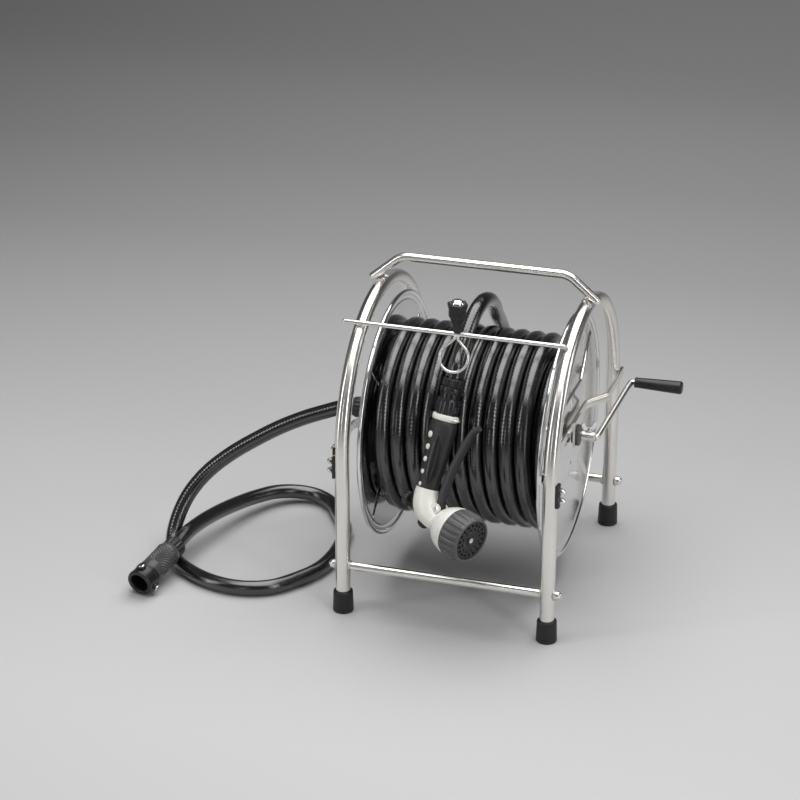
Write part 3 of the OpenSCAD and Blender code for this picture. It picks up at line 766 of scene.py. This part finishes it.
# ---- leg clips
CLIP_LOW, CLIP_HIGH, CLIP_NUTS = 190.2, 220.8, (199.5, 212)

for side, name in ((-1, "left"), (1, "right")):
    flipped = turn(z=180 if side < 0 else 0)
    place = move(side * HALF_W, -HALF_D, 0) @ flipped
    inner, outer = TUBE_R + 0.06, 12.95
    outline = [(outer * cos(a), outer * sin(a)) for a in spread(-29, 29, 16)]
    outline += [(inner * cos(a), inner * sin(a)) for a in spread(36, -36, 16)]
    clip = solid(prism(outline, CLIP_LOW, CLIP_HIGH), place)
    part(f"leg_clip_{name}", "shell", clip, [black], bevel=0.4)
    nuts = Shape()
    for z in CLIP_NUTS:
        spot = place @ move(12.9, 0, z) @ turn(y=90)
        nuts.add(prism(polygon(4.6, 6, 30), 0.0, 3.1), spot)
        nuts.add(turned([(4.0, 3.0), (3.5, 3.4), (3.4, 4.6), (2.6, 6.1), (1.2, 6.5), (0, 6.55)],
                        0.6, 32, 4), spot)
    part(f"clip_nuts_{name}", "domes", nuts, [bright], bevel=0.35)

# ---- swivel and supply hose
swivel = solid(hollow([(8.05, 132.8), (14.9, 132.8), (14.9, 142.8), (8.05, 142.8)], 0.7, 56),
               LEFT)
swivel.add(prism(polygon(15.5, 6), 142.8, 154.8), LEFT)
swivel.add(turned([(11, 154.6), (11, 158), (10.4, 158.4), (10.4, 159.2), (11, 159.6),
                   (11, 163)], 0.2, 48), LEFT)
part("swivel_body", "turned", swivel, [plated], bevel=0.5)
gland = solid(fluted([(13.0, 163.1, 0), (14.1, 164.2, 1), (14.1, 173, 1), (13.2, 174.2, 0.3)],
                     144, 16, 1.0), LEFT)
gland.add(hollow([(10.1, 173.6), (13.2, 173.6), (12.6, 176.2), (11.2, 177.9), (10.1, 177.9)],
                 0.5, 48), LEFT)
part("inlet_gland", "nut", gland, [black])

inlet_path = smooth_path(INLET_ROUTE, 10)
inlet = part("inlet_hose", "run", solid(tube(inlet_path, HOSE_R, 40, side=(0, 0, 1))),
             [hose_skin])

# ---- tap adapter
tap_nut = solid(hollow([(10.15, 0), (12.2, 0), (12.8, 1.6), (13.6, 2.2), (13.6, 17),
                        (10.15, 17)], 0.5, 56), TAP)
tap_nut.add(fluted([(13.3, 2.2, 0), (14.7, 3.4, 1), (14.7, 15.4, 1), (13.6, 16.6, 0)],
                   180, 18, 1.2), TAP)
tap_nut_piece = part("tap_nut", "ribbed", tap_nut, [black])


def knurled(r, low, high, count, pitch, depth):
    """A sleeve whose surface carries small crossed diamonds."""
    n = count * 6
    steps = int((high - low) / pitch * 6)
    rings = []
    for i in range(steps + 1):
        z = low + (high - low) * i / steps
        fade = min(1.0, min(i, steps - i) / 4)
        lead = 2 * pi * (z - low) / pitch
        ring = []
        for a in angles(n):
            crossed = cos(count * a + lead) + cos(count * a - lead)
            ring.append(polar(r - depth * fade * (0.5 - 0.25 * crossed), a, z))
        rings.append(ring)
    return stack(rings)


tap_body = solid(turned([(13.4, 17.1), (14.6, 17.4), (16.2, 22.4), (16.9, 23.6), (16.9, 25.2),
                         (16.2, 26)], 0.5, 72), TAP)
tap_body.add(knurled(17.0, 25.6, 67.6, 20, 4.6, 1.9), TAP)
tap_body.add(hollow([(12.5, 57.5), (16.6, 57.5), (16.9, 68.4), (16.9, 69.9), (12.5, 69.9)],
                    0.4, 72), TAP)
tap_body_piece = part("tap_body", "knurled", tap_body, [knurl_grey])
tap_collar = solid(hollow([(12.55, 70.1), (17.4, 70.1), (18.2, 71), (18.2, 74), (17.6, 74.8),
                           (17.6, 88), (18.2, 89), (18.2, 91), (17.2, 92.9), (13.4, 92.9),
                           (12.55, 91.6)], 0.5, 96), TAP)
tap_screws = Shape()
for a in (60, 180, 300):
    spot = TAP @ turn(z=a) @ move(0, 0, TAP_LEN - 12) @ turn(y=90)
    tap_collar.add(hollow([(2.05, 16.5), (5.4, 16.5), (5.0, 19.6), (4.5, 20.3), (2.05, 20.3)],
                          0.5, 36), spot)
    tap_screws.add(turned([(2, 13), (2, 20.5), (3.9, 20.5), (4.0, 21.5), (3.4, 22.4),
                           (1.0, 22.6)], 0.3, 32), spot)
    for cross in (0, 90):
        tap_screws.add(block((-2.4, -0.35, 22.2), (2.4, 0.35, 22.68)), spot @ turn(z=cross), 1)
tap_collar_piece = part("tap_collar", "ring", tap_collar, [black])
tap_screw_piece = part("tap_screws", "set", tap_screws, [bright, black])
dress("tap_washer", foot_rubber)

# ---- drum flanges
PAD = 60.0
RIB_HALF = 4.6


def soft(t):
    t = max(0.0, min(1.0, t))
    return t * t * (3 - 2 * t)


def pressed(r, a):
    """Height of the pressed square pad and the four ribs at a polar place."""
    x, y = r * cos(a), r * sin(a)
    edge = max(abs(x), abs(y))
    height = 2.1 * soft((PAD - 1.5 - edge) / 5.0)
    for way in (45, 135):
        c, s = cos(radians(way)), sin(radians(way))
        off, along = abs(x * c + y * s), abs(y * c - x * s)
        if off < RIB_HALF:
            run = soft((along - 70) / 9) * soft((149 - along) / 6)
            height = max(height, 2.3 * run * soft((RIB_HALF - off) / 2.8))
    return height


def flange_shape(bore, place):
    """The pressed sheet: its front face, the rolled rim, then its back face."""
    round_about = angles(600)
    face = FLANGE_X + FLANGE_T
    stations = [bore, bore + 1, 20, 34, 46]
    stations += [50 + 1.0 * i for i in range(37)]
    stations += [88 + 3.0 * i for i in range(19)]
    stations += [145, 147, 149.5]
    groove = [(150.6, 0.05), (151.2, 0.5), (152, 0.85), (152.8, 0.5), (153.4, 0.05),
              (156, 0.0), (158.0, 0.1)]

    def pressed_ring(r, base):
        return [polar(r, a, base + pressed(r, a)) for a in round_about]

    def plain_ring(r, z):
        return [polar(r, a, z) for a in round_about]

    rings = [pressed_ring(r, face) for r in stations]
    rings += [plain_ring(r, face + h) for r, h in groove]
    for t in spread(140, -140, 14):
        rings.append(plain_ring(FLANGE_R + RIM_BEAD_R * cos(t),
                                FLANGE_X + FLANGE_T / 2 + RIM_BEAD_R * sin(t)))
    rings += [plain_ring(r, FLANGE_X + h) for r, h in reversed(groove)]
    rings += [pressed_ring(r, FLANGE_X) for r in reversed(stations)]
    return solid(stack(rings, closed=True), place)


for name, place, bore in (("right", RIGHT, 6.05), ("left", LEFT, 8.05)):
    part(f"flange_{name}", "sheet", flange_shape(bore, place), [sheet_steel], "drum", sharp=60)

bolts = Shape()
for place in (RIGHT, LEFT):
    for a in range(0, 360, 90):
        spot = place @ turn(z=a) @ move(44, 0, 0)
        bolts.add(turned([(2.9, 113), (2.9, 120.2), (4.9, 120.35), (4.7, 120.9), (3.4, 121.6),
                          (0, 121.8)], 0.3, 32), spot)
part("hub_bolts", "set", bolts, [bright], "drum")
for node in ("barrel", "hub_left", "hub_right", "water_shaft", "crank_shaft"):
    dress(node, steel_bar)
dress("swivel_seal", foot_rubber)
dress("trigger_pin", bright)

# ---- winding
PER_TURN = 40
EDGE = 102.5  # the outermost turns' middle
LAYERS = ((84.4, -EDGE, EDGE, 10.0), (101.7, EDGE, -EDGE, 10.0), (119.0, -EDGE, EDGE, 10.0))


def winding_path():
    """Three layers laid turn by turn; each turn shifts over a short stretch."""
    rng = random.Random(11)
    made, phase = [], -60.0
    for i, (r, x0, x1, turns) in enumerate(LAYERS):
        pitch = (x1 - x0) / turns
        jitter = [rng.uniform(-0.28, 0.28) for _ in range(int(turns) + 2)]
        steps = int(turns * PER_TURN)
        for k in range(steps + 1):
            t = k / PER_TURN
            whole = int(t)
            x = x0 + pitch * (whole + soft((t - whole - 0.55) / 0.45))
            was, will = jitter[whole], jitter[whole + 1]
            drift = was + (will - was) * soft((t - whole - 0.5) * 2)
            made.append((phase + 360 * t, x + drift, r))
        phase += 360 * turns
        if i + 1 < len(LAYERS):
            rise = int(PER_TURN * 0.5)
            for k in range(1, rise):
                s = k / rise
                made.append((phase + 180 * s, x1, r + (LAYERS[i + 1][0] - r) * soft(s)))
            phase += 180
    return [Vector((x, r * cos(radians(a)), AXLE_Z + r * sin(radians(a)))) for a, x, r in made]


part("hose_winding", "turns", solid(tube(winding_path(), 9.95, 20, side=(1, 0, 0))),
     [hose_skin], "drum")

# ---- hose tail
root = []
for k in range(7):
    a = radians(-78 + 11 * k)
    r = 121 + 21 * soft(k / 5)
    root.append((5, r * cos(a), AXLE_Z + r * sin(a)))
nut_top = NOZZLE @ Vector((0, 0, 161))
tail_path = smooth_path(root + [Vector(p) for p in TAIL_ROUTE[1:]] + [nut_top], 10)
# It runs on inside the nozzle's handle, so that the nozzle hangs on it.
tail_path += [NOZZLE @ Vector((0, 0, z)) for z in range(152, 19, -6)]
tail = part("hose_tail", "run", solid(tube(tail_path, HOSE_R, 40, side=(1, 0, 0))), [hose_skin])

# ---- crank
shaft_end = 134.2
lean = 12.0  # how far the arm leans out over its throw
crank_end = GRIP_FROM + GRIP_LEN - 5
crank_path = rounded(
    [(149.4, 0, 0), (155, 0, 0), (155 + lean, CRANK_THROW, 0), (crank_end, CRANK_THROW, 0)],
    [0, 12, 5.5, 0], 12, closed=False)
crank = solid(tube(crank_path, CRANK_R, 36, side=(0, 0, 1)), CRANK)
crank.add(hollow([(4.6, shaft_end), (7, shaft_end), (7, 152.2), (4.6, 152.2)], 0.8, 48),
          CRANK @ turn(y=90))
crank.add(lathe([(4.6, 149.3), (4.6, 152.0)], 32), CRANK @ turn(y=90))
crank.add(weld_bead(5.0, 1.2, 3), CRANK @ move(152.4, 1.6, 0) @ turn(y=90, z=16), 1)
part("crank_arm", "bar", crank, [steel, weld], "drum")

wing = solid(turned([(2.5, 4.8), (2.5, 7.3), (4.3, 7.5), (4.4, 9), (3.6, 12.6), (3.0, 13.4),
                     (0, 13.6)], 0.4, 36), move(144, 0, AXLE_Z))
for s in (0, 180):
    leaf = rounded([(2, -0.5), (7, 1.6), (10.7, 6.6), (10.9, 10.6), (8.4, 12.7), (5.8, 11),
                    (3.9, 6.2), (2, 4.6)], 1.4, 4)
    wing.add(prism(leaf, -1.2, 1.2), move(144, 0, AXLE_Z + 8) @ turn(z=s + 35) @ turn(x=90))
part("wing_bolt", "leaves", wing, [bright], "drum", bevel=0.5)

grip_place = CRANK @ move(GRIP_FROM, CRANK_THROW, 0) @ turn(y=90)
grip_profile = rounded(
    [(4.05, 0), (6.2, 0), (7.2, 1), (7.2, 3.0), (6.7, 3.6), (6.9, 4.4), (7.5, 20),
     (8.2, 41), (8.7, GRIP_LEN - 6.5), (8.8, GRIP_LEN - 2.6), (7.6, GRIP_LEN - 0.6),
     (6.4, GRIP_LEN - 0.1), (0.01, GRIP_LEN - 0.1), (0.01, GRIP_LEN - 4.6),
     (4.05, GRIP_LEN - 4.6)], 0.7, 4)
grip = solid(lathe(grip_profile, 64, closed=True), grip_place)
part("crank_grip", "moulded", grip, [black], "grip")

# ---- connector
nut = solid(hollow([(10.15, 147.1), (13.4, 147.1), (13.4, 158), (10.15, 158)], 0.4, 56), NOZZLE)
nut.add(fluted([(13.2, 147.4, 0), (14.7, 148.6, 1), (14.7, 156.8, 1), (13.2, 158, 0)],
               150, 15, 1.2), NOZZLE)
for k in range(9):
    finger = block((10.2, -2.6, 157.6), (12.6, 2.6, 160.8))
    nut.add(finger, NOZZLE @ turn(z=40 * k))
nut_piece = part("hose_nut", "ribbed", nut, [black], bevel=0.25)

body = solid(hollow([(8.7, 114), (12.55, 114), (12.55, 139.2), (14.5, 142.8), (14.5, 146.9),
                     (8.7, 146.9)], 0.6, 64), NOZZLE)
for k in range(8):
    body.add(block((12.4, -1.3, 139.4), (15.1, 1.3, 146.4)), NOZZLE @ turn(z=45 * k + 22))
body_piece = part("connector_body", "shell", body, [smoke], bevel=0.4)

sleeve = solid(fluted(
    [(13.2, 113.5, 0), (14.9, 114.0, 0), (15.55, 115.2, 1), (15.55, 128.6, 1),
     (14.9, 130.2, 0.2), (14.3, 132.3, 0), (12.95, 132.3, 0), (12.95, 113.5, 0)],
    160, 10, 1.1, 0.5, closed=True), NOZZLE)
sleeve.add(block((13.4, -3.8, 116.4), (16.8, 3.8, 124.6)), NOZZLE)
sleeve_piece = part("connector_sleeve", "slide", sleeve, [smoke], "sleeve",
                    slot="black_plastic", bevel=0.5)

collar_rings = []
for z, inset in ((104.15, 1.2), (104.6, 0.4), (105.4, 0), (110.8, 0), (111.6, 0.4),
                 (112.05, 1.2)):
    wide, deep = 17.8 - inset, 14.8 - inset
    collar_rings.append([Vector((0.6 + wide * c, deep * s, z)) for c, s in unit_circle(72)])
collar = solid(stack(collar_rings), NOZZLE)
collar.add(turned([(8.2, 112), (8.2, 120), (7.4, 120.6), (7.4, 122), (8.2, 122.6),
                   (8.2, 127)], 0.2, 40), NOZZLE)
for s in (-1, 1):
    collar.add(turned([(2.2, -2.4), (2.2, 0.5), (1.6, 1.1), (0, 1.1)], 0.4, 20),
               NOZZLE @ move(16.4, 6 * s, 108) @ turn(y=90))
collar_piece = part("nozzle_collar", "band", collar, [cream])

loop = [(17.0, -6, 108), (17.7, -6, 108)]
loop += [(17.7 + 6 * cos(a), 6 * sin(a), 108) for a in spread(-90, 90, 12)]
loop += [(17.0, 6, 108)]
catch = solid(tube(loop, 1.08, 14, side=(0, 0, 1), ends="round"), NOZZLE)
catch_piece = part("lock_loop", "wire", catch, [bright])

# ---- nozzle grip
GRIP_STATIONS = [  # z, centre, half widths
    (16.0, 0.0, 15.0, 11.9), (24, 0.1, 15.5, 12.1), (40, 0.35, 16.6, 12.6),
    (56, 0.6, 17.5, 12.95), (76, 0.9, 18.5, 13.6), (92, 1.15, 19.2, 14.1),
    (98, 1.1, 18.9, 14.1), (102, 0.9, 17.9, 13.8), (103.9, 0.8, 16.6, 12.8)]


def grip_at(z):
    """Centre and half widths of the grip's section at a height."""
    for low, high in zip(GRIP_STATIONS, GRIP_STATIONS[1:]):
        if z <= high[0]:
            t = (z - low[0]) / (high[0] - low[0])
            return [a + (b - a) * t for a, b in zip(low[1:], high[1:])]
    return list(GRIP_STATIONS[-1][1:])


def grip_y(x, z):
    cx, rx, ry = grip_at(z)
    return ry * sqrt(max(0.0, 1 - ((x - cx) / rx) ** 2))


grip_rings = []
for z in [16.02 + 2.0 * i for i in range(42)] + [100.6, 102, 103.2, 103.9]:
    cx, rx, ry = grip_at(z)
    grip_rings.append([Vector((cx + rx * c, ry * s, z)) for c, s in unit_circle(64)])
nozzle_grip = solid(stack(grip_rings), NOZZLE)
grip_piece = part("nozzle_grip", "sleeve", nozzle_grip, [dark_grey])

inlay = Shape()
for s in (-1, 1):
    rings = []
    for rho, lift in ((1.0, -0.3), (0.985, 0.35), (0.94, 0.75), (0.8, 0.95), (0.5, 1.0),
                      (0.2, 1.0)):
        ring = []
        for c, d in unit_circle(64):
            x, z = 7 + 8 * rho * c, 54 + 33 * rho * d
            ring.append(Vector((x, s * (grip_y(x, z) + lift), z)))
        rings.append(ring)
    inlay.add(stack(rings, cap_start=False), NOZZLE)
inlay_piece = part("grip_inlay", "pads", inlay, [inlay_black])

dots = Shape()
for i in range(5):
    x, z, r = -6.6 + 0.5 * i, 84 - 16 * i, 4.2 - 0.4 * i
    y = -grip_y(x, z)
    step = 0.4
    slope_x = (grip_y(x - step, z) - grip_y(x + step, z)) / (2 * step)
    normal = Vector((slope_x, -1, 0)).normalized()
    spot = NOZZLE @ move(x, y, z) @ aim(normal)
    dots.add(turned([(r, -1.6), (r, 0.35), (r * 0.8, 0.8), (0, 1.0)], 0.4, 36, 4), spot)
dots_piece = part("grip_dots", "studs", dots, [cream])

# ---- nozzle body and head
BODY_LINE = [  # x, z, half width in the plane, half width across
    (0.0, 15.9, 15.3, 12.1), (0.2, 11.0, 16.2, 12.9), (1.2, 4.0, 17.2, 14.0),
    (4.4, -4.4, 18.0, 15.0), (10.6, -11.4, 17.4, 15.0), (18.4, -16.4, 15.6, 14.2),
    (25.0, -19.1, 13.8, 13.4), (29.6, -20.1, 13.1, 13.1)]
line = smooth_path([(x, 0, z) for x, z, _, _ in BODY_LINE], 6)
wide = smooth_path([(a, b, 0) for _, _, a, b in BODY_LINE], 6)
elbow = []
for i, (p, t, s, u) in enumerate(frames_along(line, side=(0, 1, 0))):
    if i == 0:
        t, u = Vector((0, 0, -1)), Vector((1, 0, 0))
    elbow.append([p + wide[i].x * c * u + wide[i].y * d * s for c, d in unit_circle(72)])
nozzle_body = solid(stack(elbow), NOZZLE)
ear = rounded([(18, 16), (16, 6), (22, -2), (28, -2.6), (33.5, 1), (34.5, 5), (31, 10),
               (29, 16)], 3, 5)
for s in (-1, 1):
    lo, hi = sorted((s * 6.7, s * 10))
    nozzle_body.add(prism([(p[0], -p[1]) for p in ear], -hi, -lo), NOZZLE @ turn(x=90))
body_cream = part("nozzle_body", "shell", nozzle_body, [cream], bevel=0.5)

bell_profile = smooth_path([(13.05, 0, 0), (14.6, 0, 1.6), (18, 0, 4.4), (22.8, 0, 9.4),
                            (26.8, 0, 15.8), (29.6, 0, 22.6), (31.1, 0, 28.6)], 4)
bell_outline = [(0, 0)] + [(p.x, p.z) for p in bell_profile]
bell_outline += [(31.3, 30.0), (31.0, 30.9), (20, 31), (20, 47.6), (0, 47.9)]
bell = solid(lathe(bell_outline, 96), HEAD)
bell_piece = part("nozzle_bell", "shell", bell, [cream])


def gear(profile, n, count, depth):
    """A lathe with flat-topped ribs. profile: (r, z, share)."""
    def dip(a):
        return 1 - soft((cos(a * count) + 0.35) / 0.7)

    return stack([[polar(r - depth * share * dip(a), a, z) for a in angles(n)]
                  for r, z, share in profile], closed=True)


dial = solid(gear([(20.4, 49.0, 0), (20.4, 31.6, 0), (30.0, 31.6, 0), (31.2, 32.4, 0.2),
                   (31.9, 33.6, 1), (31.9, 50.4, 1), (31.0, 52.6, 0.9), (29.8, 56.0, 0.4),
                   (28.6, 59.0, 0), (27.8, 59.5, 0), (26.4, 59.4, 0), (25.7, 58.8, 0),
                   (25.7, 53.0, 0), (6.0, 53.0, 0), (6.0, 49.0, 0)], 384, 24, 1.5), HEAD)
dial_piece = part("pattern_dial", "ribbed", dial, [grey], "dial")


def face_plate():
    """The black face with rings of spray holes, cut through its front."""
    plate = solid(turned([(25.5, 53.1), (25.5, 57.2), (24.6, 57.9), (12, 58.0), (9, 57.2),
                          (6, 57.2), (5.4, 58.4), (0, 58.4)], 0.3, 96), HEAD)
    cutters = Shape()
    for count, r, size in ((18, 20.6, 1.55), (12, 15.2, 1.2)):
        for k in range(count):
            spot = HEAD @ turn(z=360 * k / count) @ move(r, 0, 0)
            cutters.add(lathe([(size, 54.5), (size, 57.0), (size * 1.35, 58.4)], 16), spot)
    made = part("dial_face", "plate", plate, [black], "dial", sharp=30)
    tool = piece("dial_face_cutter", cutters, [black], "dial")
    cut = made.modifiers.new("holes", "BOOLEAN")
    cut.operation = "DIFFERENCE"
    cut.object = tool
    cut.solver = "EXACT"
    graph = bpy.context.evaluated_depsgraph_get()
    mesh = bpy.data.meshes.new_from_object(made.evaluated_get(graph))
    made.modifiers.clear()
    made.data = mesh
    mesh.set_sharp_from_angle(angle=radians(30))
    bpy.data.objects.remove(tool)
    return made


face_piece = face_plate()
screw = solid(turned([(3.4, 58.2), (3.4, 59.0), (2.6, 59.35), (0, 59.4)], 0.3, 32), HEAD)
screw_piece = piece("dial_centre_screw", screw, [bright], "dial", (), "polished_stainless")

# ---- trigger
lever_line = smooth_path([(28, 0, -4), (27, 0, 14), (30, 0, 34), (33, 0, 52), (42, 0, 80),
                          (51, 0, 103), (57, 0, 108)], 8)
section = [tuple(p) for p in rounded([(-1, -1), (1, -1), (1, 1), (-1, 1)], 0.5, 5)]
scales = []
for i in range(len(lever_line)):
    t = i / (len(lever_line) - 1)
    thick = 4.4 - 1.2 * soft((t - 0.55) / 0.45)
    broad = 5.5 - 0.5 * soft((t - 0.8) / 0.2)
    scales.append((broad, thick))
lever = solid(sweep(lever_line, section, side=(0, 1, 0), scale=scales), NOZZLE)
lever.add(hollow([(2.05, -5.55), (4.5, -5.55), (4.5, 5.55), (2.05, 5.55)], 0.5, 36),
          NOZZLE @ move(28, 0, -4) @ turn(x=90))
lever_piece = part("trigger", "lever", lever, [trigger_grey], "trigger", bevel=0.3)

knob_place = NOZZLE @ move(-31, 0, -5) @ turn(y=90)
knob = solid(fluted([(6.0, 0.05, 0), (8.6, 0.3, 0), (9.8, 1.6, 0.6), (10.0, 3, 1),
                     (10.0, 8.6, 1), (9.4, 9.8, 0.2)], 144, 16, 0.9), knob_place)
knob.add(lathe([(3.0, 9.6), (3.0, 18.6)], 32), knob_place)
knob_piece = part("flow_knob", "fluted", knob, [black], "flow_knob")
valve_place = NOZZLE @ move(9, 0, -25) @ turn(y=214)
valve = solid(turned([(7.45, 0), (7.45, 5.0), (7.1, 5.5), (7.45, 6.0), (6.6, 7.3), (5.2, 7.55),
                      (0, 7.6)], 0.5, 48), valve_place)
valve_piece = part("valve_cap", "plug", valve, [black])


# ---- studio
# Painted shade on the backdrop: its grey is pale at the front of the floor and darker towards the
# back and up the wall, standing in for the light's falloff.
BACKDROP_PAINTED_FALLOFF = ((0.15, 0.57), (0.26, 0.5), (0.367, 0.415), (0.504, 0.315), (0.6, 0.295),
            (0.69, 0.31), (0.98, 0.31))
FLOOR_FRONT, FLOOR_BACK, COVE_R = -6.0, 2.2, 2.4
HALF_WIDE, WALL_TOP = 9.0, 9.0
floor_mesh = bpy.data.meshes.new("floor")
cove = [(FLOOR_FRONT, 0.0), (FLOOR_BACK, 0.0)]
cove += [(FLOOR_BACK + COVE_R * cos(a), COVE_R + COVE_R * sin(a)) for a in spread(-90, 0, 24)[1:]]
cove.append((FLOOR_BACK + COVE_R, WALL_TOP))
verts = [(x, y, z) for y, z in cove for x in (-HALF_WIDE, HALF_WIDE)]
faces = [[2 * i, 2 * i + 1, 2 * i + 3, 2 * i + 2] for i in range(len(cove) - 1)]
floor_mesh.from_pydata(verts, [], faces)
for poly in floor_mesh.polygons:
    poly.use_smooth = True
floor = bpy.data.objects.new("floor", floor_mesh)
scene.collection.objects.link(floor)
paper = Look("backdrop_painted_falloff")
# The painted falloff: the colour follows the distance along Y.
depth = paper.ramp(paper.split(paper.place())["Y"], 0.0, 1.0, -1.2, 3.4)
tone = paper.nodes.new("ShaderNodeValToRGB")
falloff_stops = tone.color_ramp.elements
falloff_stops[0].position, falloff_stops[1].position = 0.0, 1.0
paper.link(depth, tone.inputs["Fac"])
paper.link(tone.outputs["Color"], paper.inputs["Base Color"])
for at, value in BACKDROP_PAINTED_FALLOFF:
    falloff_stops.new(at).color = (value, value, value * 1.005, 1)
falloff_stops.remove(falloff_stops[0])
falloff_stops.remove(falloff_stops[-1])
paper.set("Roughness", 0.8)
paper.set("Specular IOR Level", 0.2)
floor.data.materials.append(paper.material)


def softbox(name, at, look_at, size, watts):
    light = bpy.data.lights.new(name, "AREA")
    light.shape = "RECTANGLE"
    light.size, light.size_y = size
    light.energy = watts
    obj = bpy.data.objects.new(name, light)
    scene.collection.objects.link(obj)
    obj.location = at
    obj.rotation_euler = (Vector(look_at) - Vector(at)).to_track_quat("-Z", "Y").to_euler()


softbox("top", (0.0, 0.25, 2.1), (0.0, 0.15, 0.3), (2.2, 2.9), 64)
softbox("left", (-2.2, -1.6, 1.1), (0, 0, 0.25), (0.28, 2.2), 12)
softbox("right", (2.1, -1.7, 1.2), (0, 0, 0.25), (0.3, 2.2), 15)
softbox("far_right", (2.6, 0.6, 1.1), (0, 0, 0.25), (0.5, 1.8), 9)
softbox("front_strip", (-0.45, -3.2, 1.0), (0, 0, 0.25), (0.18, 1.2), 3)
world = bpy.data.worlds.new("studio")
scene.world = world
world.use_nodes = True
air = world.node_tree.nodes["Background"].inputs
air["Color"].default_value = (0.55, 0.56, 0.58, 1)
air["Strength"].default_value = 0.22
scene.view_settings.view_transform = "Standard"
